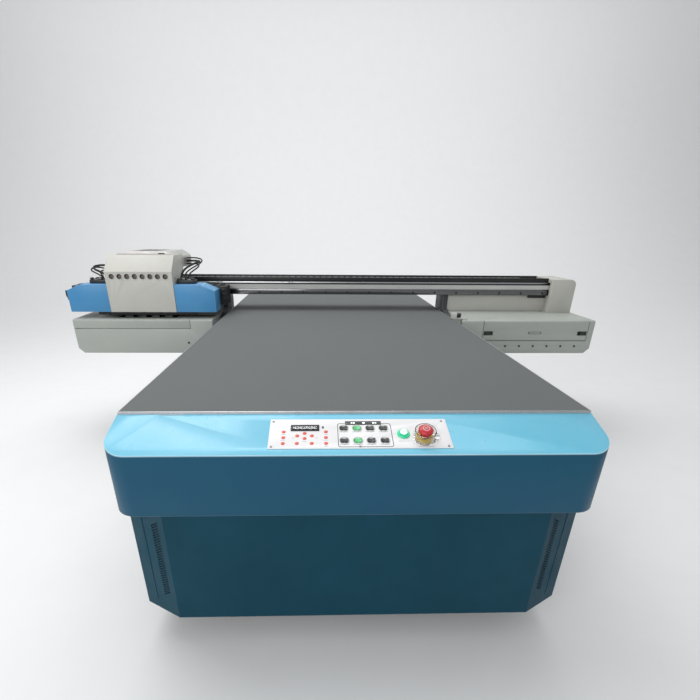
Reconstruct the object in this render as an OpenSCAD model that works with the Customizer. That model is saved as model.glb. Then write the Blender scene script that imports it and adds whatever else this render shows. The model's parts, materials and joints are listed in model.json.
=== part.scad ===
// Flatbed UV printer: a long vacuum table on a closed base, with a gantry that travels along it.
// X runs across the table, Y runs back from the console and Z is up, all in millimetres.
// The modules place everything from the middle of the table's front edge at floor level,
// and placed() then moves each piece so that the origin is under the middle of the machine's box.

/* [Table] */
// Width of the table
table_w = 1360; // [1150:10:1700]
// Length of the table
table_l = 2600; // [2200:10:3200]
// Height of the working surface above the floor
table_h = 755; // [720:5:900]
// Thickness of the bed with its working surface
bed_t = 46; // [36:1:60]
// Thickness of the grey working surface
surface_t = 4; // [2:1:8]
// Height of the vacuum chamber under the bed
chamber_h = 60; // [40:1:80]

/* [Console and pedestal] */
// How far the console reaches in front of the table
console_d = 153; // [130:1:190]
// Drop from the working surface to the back edge of the console top
console_step = 7; // [4:1:15]
// Fall of the console top from its back edge to its front edge
console_fall = 51; // [30:1:60]
// Depth of the console apron below the working surface
apron_drop = 247; // [200:1:300]
// Radius of the console's corners in plan
console_r = 70; // [30:1:100]
// Gap between the console and the table's front edge
table_gap = 0.5; // [0.2:0.1:2]
// Width that the console has more than the table, on each side
console_side = 1.5; // [0:0.5:4]
// How far the pedestal's front stands back from the console's front
pedestal_setback = 11; // [5:1:30]
// How far the pedestal's sides stand in from the console's sides
pedestal_inset = 14; // [8:1:40]
// Width of the pedestal's corner chamfer across the machine
chamfer_x = 119; // [60:1:150]
// Depth of the pedestal's corner chamfer along the machine
chamfer_y = 67; // [40:1:90]
// Height of the pedestal's lower edge above the floor
floor_gap = 115; // [90:5:130]
// Number of vent slots in each chamfer
vent_count = 30; // [10:1:34]
// Distance from one vent slot to the next
vent_pitch = 9; // [7:0.5:10]
// Thickness of the sheet metal
sheet_t = 3; // [2:0.5:4]

/* [Control panel] */
// Length of the control panel
panel_l = 491; // [470:1:560]
// Width of the control panel, measured down the slope
panel_w = 113.5; // [112:0.5:116]
// Distance from the console's back edge to the panel
panel_edge = 26.5; // [20:0.5:27]
// Diameter of the emergency stop's cap
estop_d = 40; // [30:1:44]
// Diameter of the start button's lens
start_d = 24; // [18:1:28]
// Length of a rocker switch
rocker_l = 19; // [15:0.5:22]
// Width of a rocker switch
rocker_w = 13; // [10:0.5:15]
// Diameter of a membrane key
key_d = 11; // [8:0.5:13]

/* [Frame] */
// Size of the frame's square tubes
tube = 80; // [60:5:90]
// Wall of the frame's tubes
tube_wall = 5; // [3:1:8]
// Distance from the middle of the table to the outer side of the long beams
beam_out = 580; // [500:5:600]
// Length of the base behind the table's back edge
base_tail = 240; // [240:10:600]
// Diameter of a levelling foot's pad
foot_d = 110; // [80:5:140]

/* [Gantry drive] */
// Depth of the long guide rails, outwards from the beams
rail_d = 17; // [12:1:24]
// Height of the long guide rails
rail_h = 20; // [16:1:24]
// Diameter of the long ball screws
screw_d = 25; // [20:1:28]
// Running clearance of the moving pieces
run_gap = 0.5; // [0.3:0.1:1]
// Clearance between the table's edge and the gantry's side plates
side_gap = 16; // [9:1:24]
// Thickness of the gantry's side plates
plate_t = 32; // [18:1:40]

/* [Gantry] */
// Distance from the table's front edge to the front of the side boxes, with the gantry at rest
gantry_y = 1375; // [1375:5:1500]
// Gap between the gantry's side plates and the side boxes
box_gap = 2; // [1:1:30]
// Width of a side box across the machine
box_w = 795; // [760:1:860]
// Height of a side box
box_h = 195; // [185:1:205]
// Distance from the back of the beam to the back of the side boxes
box_tail = 35; // [25:5:80]
// Drop from the working surface to the top of the side boxes
box_step = 5; // [3:1:12]
// Size of the side boxes' lower corner chamfer
box_chamfer = 30; // [10:1:50]
// Radius of the side boxes' upper front edge
box_round = 10; // [6:1:16]
// Gap between the working surface and the beam
media_gap = 97; // [80:1:120]
// Height of the beam
beam_h = 76; // [70:1:90]
// Depth of the beam
beam_d = 180; // [170:1:200]
// Distance from the front of the side boxes to the front of the beam
beam_back = 335; // [335:1:340]
// Height of the chain tray on the beam
tray_h = 27; // [24:1:34]
// Width of the tower at the beam's right end
tower_w = 150; // [130:1:170]

/* [Side box fittings] */
// Distance from the left box's inner end to the lid's seam
lid_seam = 128; // [100:1:160]
// Height of the lid's front lip
lid_lip = 51; // [40:1:70]
// Distance from the right box's inner end to the ink door
door_in = 131; // [110:1:140]
// Distance from the ink door to the right box's outer end
door_out = 34; // [32:1:60]
// Height of the ink door
door_h = 118; // [100:1:122]
// Clearance around the ink door
door_gap = 1.5; // [1:0.5:3]
// Number of ink tanks
tank_count = 8; // [4:1:8]

/* [Carriage] */
// Distance from the left box's inner end to the middle of the parked carriage
park_in = 397; // [387:1:410]
// Width of the carriage's grey cover
cover_w = 375; // [350:1:420]
// Half of the width over the blue lamp covers
wing_reach = 417; // [410:1:425]
// Distance from the front of the side boxes to the front of the carriage
carriage_back = 45; // [40:1:60]
// Gap between the working surface and the lowered print heads
head_gap = 10; // [9:1:16]
// Number of sight holes in the cover
hole_count = 8; // [4:1:8]
// Diameter of a sight hole
hole_d = 29; // [20:1:32]
// Distance from one sight hole to the next
hole_pitch = 42.8; // [40:0.1:44]
// Distance that the lamps stand out past the blue covers
lamp_out = 40; // [10:1:44]

/* [Hidden] */
$fn = 48;

// Colours
blue_light = "#9edff0";
blue_apron = "#28587a";
teal_dark = "#1b4657";
grey_box = "#9fa49c";
grey_cover = "#b2b3ad";
wing_blue = "#4a8ab8";
steel = "#9a9c9e";
steel_dark = "#50514c";
black = "#1c1c1e";
alu = "#b8bcbd";

// Heights
half_w = table_w / 2;
base_l = table_l + base_tail;
bed_bottom = table_h - bed_t;
beam_top = bed_bottom - chamber_h;
beam_base = beam_top - tube;
apron_bottom = table_h - apron_drop;
console_half = half_w + console_side;
slope = atan(console_fall / console_d);

// Pedestal
ped_half = console_half - pedestal_inset;
ped_front = -(console_d - pedestal_setback);
ped_back = 60;
panel_top = apron_bottom - 28;
chamfer_len = norm([chamfer_x, chamfer_y]);
chamfer_dir = atan(chamfer_y / chamfer_x);

// Table drive
rail_z = beam_base + 53;
block_half_h = 21;
block_l = 80;
block_y = [gantry_y + 170, gantry_y + 350];
plate_in = half_w + side_gap;
plate_out = plate_in + plate_t;
screw_x = plate_in - 50;
screw_z = beam_base - 4;
screw_front = 72;
bearing_y = 102;
bearing_t = 30;
drive_half = 30;
rail_front = 30;

// Side boxes
box_in = plate_out + box_gap;
box_out = box_in + box_w;
box_top = table_h - box_step;
box_bottom = box_top - box_h;
box_d = beam_back + beam_d + box_tail;
box_back = gantry_y + box_d;

// Beam and cross drive
beam_y = gantry_y + beam_back;
beam_z = table_h + media_gap;
beam_half = box_out - 5 - tower_w;
wall = 8;
rail_y = beam_y - 20;
rail_z0 = beam_z + 1;
xrail_h = 30;
belt_z = beam_z + 35;
belt_h = 25;
belt_t = 2;
belt_r = 24;
pulley_x = beam_half + 40;
pulley_y = beam_y - 12 + belt_t + belt_r;
tower_front = beam_y - 55;
tower_top = beam_z + beam_h + tray_h - 2;
plate_back = beam_y + beam_d;
door_axis_y = gantry_y + 6;
door_bottom = box_top - door_h;
door_axis_z = door_bottom + 6;

// Carriage
park_x = box_in + park_in;
cx = -park_x;
car_y = gantry_y + carriage_back;
car_back = rail_y - 40;
head_z = table_h + head_gap;
base_z = head_z + 2;
base_t = 16;
cover_bottom = base_z + base_t + 2;
fold_z = cover_bottom + 222;
cover_top = fold_z + 84;
cover_back = gantry_y + 285;
hood_bottom = beam_z + beam_h + tray_h + 62;
hood_back = plate_back - 40;
wing_top = cover_bottom + 153;
hole_z = fold_z - 26;

// Origin under the middle of the whole machine's box
mid_x = (box_out - (park_x + wing_reach + lamp_out)) / 2;
mid_y = (base_l - console_d) / 2;

// ---- helpers ----
module block(x, y, z) translate([x[0], y[0], z[0]]) cube([x[1] - x[0], y[1] - y[0], z[1] - z[0]]);
module placed() translate([-mid_x, -mid_y, 0]) children();
module both_sides() { children(); mirror([1, 0, 0]) children(); }
module tube_y(x, y, z, w) difference() {
  block(x, y, z);
  block([x[0] + w, x[1] - w], [y[0] - 1, y[1] + 1], [z[0] + w, z[1] - w]);
}
module along_x(x, len) translate([x, 0, 0]) rotate([90, 0, 90]) linear_extrude(len) children();
module along_y(y, len) translate([0, y + len, 0]) rotate([90, 0, 0]) linear_extrude(len) children();
// cuts a round edge along X: the corner is at the origin, the solid lies towards +Y and -Z
module round_cut(len, r) translate([0, 0, -r]) difference() {
  translate([-1, -1, 0]) cube([len + 2, r + 1, r + 1]);
  translate([-2, r, 0]) rotate([0, 90, 0]) cylinder(r = r, h = len + 4);
}
// panel coordinates: u across the machine, v down the slope, third axis out of the panel
module on_slope(u = 0, v = 0, h = 0)
  translate([0, 0, table_h - console_step]) rotate([slope, 0, 0]) translate([u, -v, h]) children();
// a hose swept along a list of points, one ring to each point
function ring(p, d, r, n) = let (a = norm([d[0], d[1]]) < 0.01 ? [1, 0, 0] : [-d[1], d[0], 0] / norm([d[0], d[1]]),
  b = cross(d / norm(d), a)) [for (i = [0:n - 1]) p + r * (cos(360 * i / n) * a + sin(360 * i / n) * b)];
module hose(pts, r, n = 8) {
  last = len(pts) - 1;
  dirs = [for (i = [0:last]) pts[min(i + 1, last)] - pts[max(i - 1, 0)]];
  polyhedron(points = [for (i = [0:last]) each ring(pts[i], dirs[i], r, n)],
    faces = concat([[for (i = [0:n - 1]) i]], [[for (i = [n - 1:-1:0]) last * n + i]],
      [for (k = [0:last - 1], i = [0:n - 1]) [k * n + i, (k + 1) * n + i, (k + 1) * n + (i + 1) % n, k * n + (i + 1) % n]]));
}

// ---- base ----
leg_y = [60, (base_l - tube) / 2, base_l - 60 - tube];
cross_y = [200, 780, 1660, 2380];
tie_z = floor_gap + 65;

// long beams, and the low ties between the legs
module base_beams() color(steel_dark) placed() {
  both_sides() tube_y([beam_out - tube, beam_out], [20, base_l - 3], [beam_base, beam_top], tube_wall);
  for (y = leg_y) block([tube - beam_out, beam_out - tube], [y + 10, y + tube - 10], [tie_z, tie_z + 60]);
}

// legs, and the cross tubes between the long beams
module base_legs() color(steel_dark) placed() {
  both_sides() for (y = leg_y) difference() {
    block([beam_out - tube, beam_out], [y, y + tube], [floor_gap, beam_base]);
    block([beam_out - tube + tube_wall, beam_out - tube_wall], [y + tube_wall, y + tube - tube_wall],
      [floor_gap + tube_wall, beam_base + 1]);
  }
  for (y = cross_y) block([tube - beam_out, beam_out - tube], [y, y + tube], [beam_base + 10, beam_top]);
}

module levelling_feet() color(steel) placed() both_sides() for (y = leg_y)
  translate([beam_out - tube / 2, y + tube / 2, 0]) rotate_extrude()
    polygon([[0, 0], [foot_d / 2, 0], [foot_d / 2, 14], [28, 26], [12, 32], [12, floor_gap - 20],
      [20, floor_gap - 20], [20, floor_gap], [0, floor_gap]]);

// outline of the pedestal in plan, moved in by the inset on every side
module pedestal_plan(inset) {
  k = inset * tan((90 - chamfer_dir) / 2);
  m = inset * tan(chamfer_dir / 2);
  polygon([[-ped_half + inset, ped_back + (inset > 0 ? 1 : 0)], [-ped_half + inset, ped_front + chamfer_y + k],
    [-ped_half + chamfer_x + m, ped_front + inset], [ped_half - chamfer_x - m, ped_front + inset],
    [ped_half - inset, ped_front + chamfer_y + k], [ped_half - inset, ped_back + (inset > 0 ? 1 : 0)]]);
}

module pedestal_front() color(teal_dark) placed() difference() {
  translate([0, 0, floor_gap]) linear_extrude(apron_bottom - floor_gap) pedestal_plan(0);
  translate([0, 0, floor_gap - 1]) linear_extrude(apron_bottom - floor_gap + 2) pedestal_plan(sheet_t);
  both_sides() translate([ped_half, ped_front + chamfer_y, 0]) rotate([0, 0, chamfer_dir])
    for (i = [0:vent_count - 1])
      translate([-chamfer_len * 0.73, 0, apron_bottom - 48 - i * vent_pitch]) rotate([0, 35, 0])
        cube([34, 4 * sheet_t, 3.5], center = true);
}

module side_panels() color(teal_dark) placed() both_sides() difference() {
  block([ped_half - 20, ped_half], [ped_back + 1, base_l - sheet_t - 1], [floor_gap, panel_top]);
  block([ped_half - 21, ped_half - sheet_t], [ped_back, base_l], [floor_gap + sheet_t, panel_top - sheet_t]);
}

module rear_panel() color(teal_dark) placed() {
  difference() {
    union() {
      block([-ped_half, ped_half], [base_l - sheet_t, base_l], [floor_gap, panel_top]);
      block([tube - beam_out, beam_out - tube], [base_l - sheet_t, base_l], [panel_top, beam_top]);
      block([20 - beam_out, beam_out - 20], [table_l + 4, base_l], [beam_top, beam_top + sheet_t]);
    }
    for (x = [-300, 300], z = [0:6]) block([x - 70, x + 70], [base_l - 5, base_l + 1],
      [panel_top - 60 - z * 16, panel_top - 54 - z * 16]);
  }
  // power inlet
  block([-35, 35], [base_l - 45, base_l - sheet_t], [floor_gap + 60, floor_gap + 110]);
}

// outline of the console in plan
module console_plan(inset) {
  r = console_r - inset;
  half = console_half - inset;
  front = -console_d + inset;
  union() {
    translate([-half, front + r]) square([2 * half, ped_back - front - r]);
    translate([-half + r, front]) square([2 * half - 2 * r, r + 1]);
    for (s = [-1, 1]) translate([s * (half - r), front + r]) circle(r = r, $fn = 96);
  }
}
module above_slope(h) on_slope(0, 0, h) translate([-2 * half_w, -2 * console_d, 0]) cube([4 * half_w, 4 * console_d, 400]);

module console_apron() color(blue_apron) placed() difference() {
  translate([0, 0, apron_bottom]) linear_extrude(apron_drop) console_plan(0);
  translate([0, 0, apron_bottom + sheet_t]) linear_extrude(apron_drop) console_plan(sheet_t);
  translate([0, 0, apron_bottom - 1]) linear_extrude(apron_drop) console_plan(20);
  above_slope(-sheet_t);
  block([-2 * half_w, 2 * half_w], [-table_gap, ped_back + 1], [bed_bottom - 4, table_h]);
}

module console_top() color(blue_light) placed() difference() {
  intersection() {
    block([-2 * half_w, 2 * half_w], [-2 * console_d, -table_gap], [apron_bottom, table_h]);
    translate([0, 0, apron_bottom]) linear_extrude(apron_drop) console_plan(0);
    on_slope(0, 0, -sheet_t) translate([-2 * half_w, -2 * console_d, 0]) cube([4 * half_w, 2 * console_d, sheet_t]);
  }
  on_slope(0, panel_edge + panel_w - 10, -10) translate([12 - panel_l / 2, 0, 0]) cube([panel_l - 24, panel_w - 20, 20]);
  on_slope(-half_w + 123, 5, -10) cube([58, 2.5, 20]);
}

module table_bed() color(alu) placed() difference() {
  block([-half_w, half_w], [0, table_l], [bed_bottom, table_h]);
  block([-half_w + 3, half_w - 3], [3, table_l - 3], [table_h - surface_t, table_h + 1]);
}

module table_surface() color("#767a79") placed()
  block([-half_w + 3, half_w - 3], [3, table_l - 3], [table_h - surface_t, table_h]);

blower_y = [1100, 2000];
module vacuum_chamber() color(steel) placed() difference() {
  block([-beam_out + 20, beam_out - 20], [60, table_l - 60], [beam_top, bed_bottom]);
  block([-beam_out + 23, beam_out - 23], [63, table_l - 63], [beam_top + sheet_t, bed_bottom + 1]);
  for (y = blower_y) translate([0, y, beam_top - 1]) cylinder(r = 30, h = 10);
}

module vacuum_blowers() color(steel) placed() for (y = blower_y) translate([0, y, 0]) {
  translate([0, 0, floor_gap + 300]) rotate([90, 0, 0]) cylinder(r = 130, h = 110, center = true);
  translate([0, 55, floor_gap + 300]) rotate([-90, 0, 0]) cylinder(r = 80, h = 160);
  translate([0, 0, floor_gap + 400]) cylinder(r = 29.5, h = beam_top - floor_gap - 397);
  for (x = [-100, 100]) translate([x, 0, floor_gap + 300]) cylinder(r = 6, h = beam_top - floor_gap - 300);
}

// ---- table drive ----
module y_rails() color(steel) placed() both_sides() difference() {
  block([beam_out, beam_out + rail_d], [rail_front, base_l - 10], [rail_z - rail_h / 2, rail_z + rail_h / 2]);
  for (s = [-1, 1]) translate([beam_out + rail_d * 0.55, 0, rail_z + s * (rail_h / 2 + 1)])
    rotate([-90, 0, 0]) cylinder(r = 3, h = base_l);
}

module screw_bearings() color(steel_dark) placed() both_sides() for (y = [bearing_y, base_l - 100]) difference() {
  block([beam_out, screw_x + drive_half], [y, y + bearing_t], [screw_z - drive_half, screw_z + drive_half]);
  translate([screw_x, y - 1, screw_z]) rotate([-90, 0, 0]) cylinder(d = screw_d + 2 * run_gap, h = bearing_t + 2);
}

module y_motors() color(black) placed() both_sides() {
  block([screw_x - drive_half, screw_x + drive_half], [-62, 58], [screw_z - drive_half, screw_z + drive_half]);
  block([beam_out, screw_x + drive_half], [58, 68], [screw_z - drive_half, screw_z + drive_half]);
}

module screw_shape() translate([screw_x, 0, screw_z]) rotate([-90, 0, 0]) {
  translate([0, 0, screw_front]) cylinder(d = screw_d, h = base_l - 70 - screw_front);
  translate([0, 0, screw_front - 3]) cylinder(d = screw_d + 11, h = 27);
}
module y_screw_right() color(steel) placed() screw_shape();
module y_screw_left() color(steel) placed() mirror([1, 0, 0]) screw_shape();

module electronics_cabinet() color(alu) placed() difference() {
  block([-380, 380], [150, 450], [floor_gap + 126, floor_gap + 406]);
  block([-377, 377], [153, 451], [floor_gap + 129, floor_gap + 403]);
}

// ---- controls ----
rocker_u = [-43, -6.5, 29.5, 66];
rocker_v = [64, 111.5];
start_u = 119;
start_v = 87;
estop_u = 174;
estop_v = 100;
panel_t = 2;
key_uv = [[-206.5, 77], [-206.5, 99], [-206.5, 121], [-149.5, 83], [-169.5, 92.5], [-130, 92.5],
  [-149.5, 102.5], [-169.5, 121], [-130, 121], [-92, 77], [-92, 99], [-92, 121]];
lcd_u = -149;
lcd_v = 62.5;
function rocker_place(i) = [rocker_u[(i - 1) % 4], rocker_v[floor((i - 1) / 4)]];

module control_panel() color("#f4f2f3") placed() difference() {
  on_slope(-panel_l / 2, panel_edge + panel_w) cube([panel_l, panel_w, panel_t]);
  for (i = [1:8]) on_slope(rocker_place(i)[0], rocker_place(i)[1])
    cube([rocker_l + 2, rocker_w + 2, 20], center = true);
  on_slope(start_u, start_v, -5) cylinder(d = start_d + 2 * run_gap, h = 20);
  on_slope(estop_u, estop_v, -5) cylinder(r = 11, h = 20);
}

module keypad() color("#d0452f") placed() for (k = key_uv) on_slope(k[0], k[1], panel_t) intersection() {
  cylinder(d = key_d, h = 1.2);
  translate([0, 0, 1.2 - 20]) sphere(r = 20, $fn = 64);
}

module lcd_display() color(black) placed() on_slope(lcd_u, lcd_v, panel_t) difference() {
  translate([-39, -11.5, 0]) cube([78, 23, 2.5]);
  translate([-33, -7, 1.5]) cube([66, 14, 2]);
}

module estop_guard() {
  color("#e8c832") placed() on_slope(estop_u, estop_v, panel_t) difference() {
    cylinder(r = 22, h = 5);
    translate([0, 0, -1]) cylinder(r = 11, h = 10);
  }
  color([0.9, 0.9, 0.9, 0.5]) placed() on_slope(estop_u, estop_v, panel_t) difference() {
    cylinder(r = 29, h = 26);
    translate([0, 0, -1]) cylinder(r = 26.5, h = 30);
  }
}

// a rocker: a body that turns on its pin in the panel's opening, with a shallow V on top
module rocker(i) color(i == 2 || i == 6 ? "#2f9e58" : black) placed()
  on_slope(rocker_place(i)[0], rocker_place(i)[1], panel_t) rotate([90, 0, 0]) {
    cylinder(r = 1.5, h = rocker_w + 1.6, center = true);
    translate([0, 0, -rocker_w / 2]) linear_extrude(rocker_w)
      polygon([[-rocker_l / 2, 3.4], [0, 1.2], [rocker_l / 2, 4.6], [rocker_l / 2 - 0.4, 0], [5, -9], [-5, -9],
        [-rocker_l / 2 + 0.4, 0]]);
  }
module rocker_1() rocker(1);
module rocker_2() rocker(2);
module rocker_3() rocker(3);
module rocker_4() rocker(4);
module rocker_5() rocker(5);
module rocker_6() rocker(6);
module rocker_7() rocker(7);
module rocker_8() rocker(8);

module start_button() color("#35c46a") placed() on_slope(start_u, start_v, panel_t) {
  translate([0, 0, -8]) cylinder(d = start_d, h = 15);
  translate([0, 0, 7]) cylinder(d1 = start_d, d2 = start_d - 5, h = 1.5);
}

module estop_knob() color("#d03a3a") placed() on_slope(estop_u, estop_v, panel_t) rotate_extrude()
  polygon([[0, -8], [9, -8], [9, 20], [estop_d / 2 - 1.5, 20], [estop_d / 2, 22], [estop_d / 2, 29],
    [estop_d / 2 - 4, 33], [estop_d / 2 - 9, 34.5], [0, 35]]);

// ---- gantry ----
nut_y = gantry_y + 265;
module gantry_side_plates() color(steel_dark) placed() both_sides() {
  along_x(plate_in, plate_t) polygon([[block_y[0] - 10, screw_z - 35], [block_y[1] + block_l + 10, screw_z - 35],
    [plate_back, box_top - 40], [plate_back, beam_z], [beam_y + 5, beam_z], [beam_y + 5, table_h + 10],
    [block_y[0] + 60, box_top - 20], [block_y[0] - 10, box_top - 70]]);
  block([plate_out, box_in], [block_y[0], block_y[1] + block_l], [box_bottom + 20, box_bottom + 70]);
}

module y_blocks() color(steel) placed() both_sides() {
  for (y = block_y) difference() {
    block([beam_out + 4, plate_in], [y, y + block_l], [rail_z - block_half_h, rail_z + block_half_h]);
    block([beam_out - 1, beam_out + rail_d + run_gap], [y - 1, y + block_l + 1],
      [rail_z - rail_h / 2 - run_gap, rail_z + rail_h / 2 + run_gap]);
  }
  difference() {
    block([screw_x - 28, plate_in], [nut_y, nut_y + 70], [screw_z - 28, screw_z + 28]);
    translate([screw_x, nut_y - 1, screw_z]) rotate([-90, 0, 0]) cylinder(d = screw_d + 2 * run_gap, h = 72);
  }
}

module gantry_beam() color(alu) placed() difference() {
  block([-beam_half, beam_half], [beam_y, beam_y + beam_d], [beam_z, beam_z + beam_h]);
  block([-beam_half - 1, beam_half + 1], [beam_y + wall, beam_y + beam_d - wall], [beam_z + wall, beam_z + beam_h - wall]);
  block([-beam_half - 1, beam_half + 1], [beam_y - 1, beam_y + 3], [belt_z + 8, belt_z + 16]);
}

module x_rail() color(steel) placed() difference() {
  block([-beam_half + 12, beam_half - 12], [rail_y, beam_y], [rail_z0, rail_z0 + xrail_h]);
  for (z = [rail_z0 - 1, rail_z0 + xrail_h + 1]) translate([-beam_half, rail_y + 8, z])
    rotate([0, 90, 0]) cylinder(r = 3.5, h = 2 * beam_half);
}

// the belt's loop: two straight runs and two half turns round the pulleys
module belt_plan(r) union() {
  translate([-pulley_x, pulley_y - r]) square([2 * pulley_x, 2 * r]);
  for (s = [-1, 1]) translate([s * pulley_x, pulley_y]) circle(r = r, $fn = 96);
}
module drive_belt() color("#d8d9d6") placed() translate([0, 0, belt_z]) difference() {
  linear_extrude(belt_h) belt_plan(belt_r + belt_t);
  translate([0, 0, -1]) linear_extrude(belt_h + 2) belt_plan(belt_r);
}

module pulley() translate([pulley_x, pulley_y, belt_z - 3]) difference() {
  union() {
    cylinder(r = belt_r - 0.3, h = belt_h + 6);
    cylinder(r = belt_r + 3.5, h = 2);
    translate([0, 0, belt_h + 4]) cylinder(r = belt_r + 3.5, h = 2);
  }
  translate([0, 0, -1]) cylinder(r = 6.3, h = belt_h + 8);
}
module x_pulley_drive() color(steel) placed() pulley();
module x_pulley_idler() color(steel) placed() mirror([1, 0, 0]) pulley();

// plates at the beam's ends with the pulleys' shafts, the motor, and the bracket under the right end
module x_drive_mounts() color(black) placed() {
  both_sides() {
    block([beam_half, pulley_x + 22], [beam_y, beam_y + beam_d - 20], [belt_z - 17, belt_z - 6]);
    translate([pulley_x, pulley_y, belt_z - 7]) cylinder(r = 6, h = belt_h + 16);
  }
  block([pulley_x - 28, pulley_x + 28], [pulley_y - 28, pulley_y + 28], [table_h + 12, belt_z - 16]);
  block([beam_half - 118, beam_half - 6], [beam_y, beam_y + 9], [beam_z - 18, beam_z]);
}

module chain_tray() color(black) placed() difference() {
  block([-beam_half, beam_half - 1], [beam_y + 5, beam_y + beam_d - 5], [beam_z + beam_h, beam_z + beam_h + tray_h]);
  block([-beam_half - 1, beam_half], [beam_y + 8, beam_y + beam_d - 8], [beam_z + beam_h + 3, beam_z + beam_h + tray_h + 1]);
}

link = 60;
module drag_chain() color(black) placed() translate([0, beam_y + 40, beam_z + beam_h + 3]) {
  translate([-beam_half + 150, 4, 2]) cube([2 * beam_half - 300, 52, 16]);
  for (x = [-beam_half + 150:link:beam_half - 200]) translate([x, 0, 0]) cube([link - 14, link, 20]);
}

module beam_back_covers() color("#b4b2a8") placed() both_sides() {
  block([plate_out, beam_half], [beam_y + 12, beam_y + 15], [box_top, beam_z]);
  block([plate_out, beam_half], [beam_y + 15, beam_y + 33], [box_top, box_top + 3]);
}

// outline of a side box seen from the front, moved in by the inset
module box_outline(inset) {
  k = inset * tan(22.5);
  polygon([[box_in + inset, box_bottom + inset], [box_out - box_chamfer - k, box_bottom + inset],
    [box_out - inset, box_bottom + box_chamfer + k], [box_out - inset, box_top - inset], [box_in + inset, box_top - inset]]);
}
module box_body(inset) difference() {
  along_y(gantry_y + inset, box_d - 2 * inset) box_outline(inset);
  translate([box_in - 1, gantry_y + inset, box_top - inset]) round_cut(box_w + 2, box_round - inset);
}
module box_shell() difference() {
  box_body(0);
  box_body(sheet_t);
}

lid_x = box_in + lid_seam;
lid_z = box_top - lid_lip;
lid_gap = 1.5;
post = [[110, 105], [110, 260]];
module cap_posts(r, z, h) for (p = post, s = [-1, 1])
  translate([park_x + s * p[0], gantry_y + p[1], z]) cylinder(r = r, h = h);

module left_box() color(grey_box) placed() mirror([1, 0, 0]) {
  difference() {
    box_shell();
    block([lid_x, box_out + 1], [gantry_y - 1, box_back + 1], [lid_z, box_top + 1]);
  }
  block([lid_x + 5, box_out - 40], [gantry_y + sheet_t, gantry_y + 2 * sheet_t], [lid_z - 15, lid_z + 14]);
  block([box_out - 2 * sheet_t, box_out - sheet_t], [gantry_y + 30, box_back - 30], [lid_z - 15, lid_z + 14]);
  difference() {
    cap_posts(12, box_bottom + sheet_t, 60);
    cap_posts(6 + run_gap, box_bottom + sheet_t - 1, 62);
  }
}

module left_box_lid() color("#a8aba3") placed() mirror([1, 0, 0]) difference() {
  intersection() {
    box_shell();
    block([lid_x + lid_gap, box_out + 1], [gantry_y - 1, box_back + 1], [lid_z + lid_gap, box_top + 1]);
  }
  block([park_x - 172, park_x + 172], [gantry_y + 75, gantry_y + 290], [box_top - 10, box_top + 1]);
}

cap_base = box_top - 62;
module cap_station() color(black) placed() mirror([1, 0, 0]) {
  block([park_x - 150, park_x + 150], [gantry_y + 85, gantry_y + 282], [cap_base, cap_base + 6]);
  cap_posts(6, box_bottom + sheet_t + 20, cap_base - box_bottom - sheet_t - 19);
  for (i = [0:3], y = head_y) translate([park_x + (i - 1.5) * head_pitch, y + head_l / 2, 0]) difference() {
    block([-head_w / 2 - 4, head_w / 2 + 4], [-head_l / 2 - 2, head_l / 2 + 2], [cap_base + 6, head_z - 3]);
    block([-head_w / 2, head_w / 2], [-head_l / 2 + 2, head_l / 2 - 2], [head_z - 12, head_z]);
  }
}

door_x0 = box_in + door_in;
door_x1 = box_out - door_out;
door_top_d = 18;
pin_r = 1.5;
module hinge_ends() {
  translate([door_x0, 0, 0]) children();
  translate([door_x1, 0, 0]) mirror([1, 0, 0]) children();
}

module right_box() color(grey_box) placed() {
  difference() {
    box_shell();
    block([door_x0, door_x1], [gantry_y - 1, gantry_y + door_top_d + door_gap], [door_axis_z - 9, box_top + 1]);
    for (i = [0:5]) translate([door_x0 + 147 + i * 84.4, gantry_y - 1, box_bottom + 43])
      rotate([-90, 0, 0]) cylinder(r = 3, h = 2.5);
  }
  hinge_ends() difference() {
    block([-11, -2], [gantry_y + sheet_t, gantry_y + 12], [door_axis_z - 6, door_axis_z + 6]);
    translate([-12, door_axis_y, door_axis_z]) rotate([0, 90, 0]) cylinder(r = pin_r + 0.3, h = 12);
  }
}

latch_w = 55;
latch_h = 24;
latch_z = box_top - 87;
latch_d = 9;
module rounded_panel(x, y, z, r) difference() {
  block(x, y, z);
  translate([x[0] - 1, y[0], z[1]]) round_cut(x[1] - x[0] + 2, r);
}
module ink_door() color(grey_box) placed() {
  difference() {
    union() {
      difference() {
        rounded_panel([door_x0 + door_gap, door_x1 - door_gap], [gantry_y, gantry_y + door_top_d],
          [door_bottom, box_top], box_round);
        rounded_panel([door_x0, door_x1], [gantry_y + sheet_t, gantry_y + door_top_d + 1],
          [door_bottom - 1, box_top - sheet_t], box_round - sheet_t);
      }
      hinge_ends() block([3, 7 + latch_w], [gantry_y + sheet_t - 1, gantry_y + sheet_t + latch_d], [latch_z - 2, latch_z + latch_h + 2]);
    }
    hinge_ends() block([5, 5 + latch_w], [gantry_y - 1, gantry_y + sheet_t + latch_d - 2], [latch_z, latch_z + latch_h]);
  }
  hinge_ends() {
    translate([-10, door_axis_y, door_axis_z]) rotate([0, 90, 0]) cylinder(r = pin_r, h = 20);
    block([door_gap, door_gap + 8], [gantry_y + sheet_t - 1, gantry_y + 10], [door_axis_z - 3.5, door_axis_z + 10]);
  }
}
module latch_slider() block([7, 43], [gantry_y + 1, gantry_y + sheet_t + latch_d - 3], [latch_z + 1, latch_z + latch_h - 1]);
module latch_left() color(black) placed() translate([door_x0, 0, 0]) latch_slider();
module latch_right() color(black) placed() translate([door_x1, 0, 0]) mirror([1, 0, 0]) latch_slider();

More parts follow.
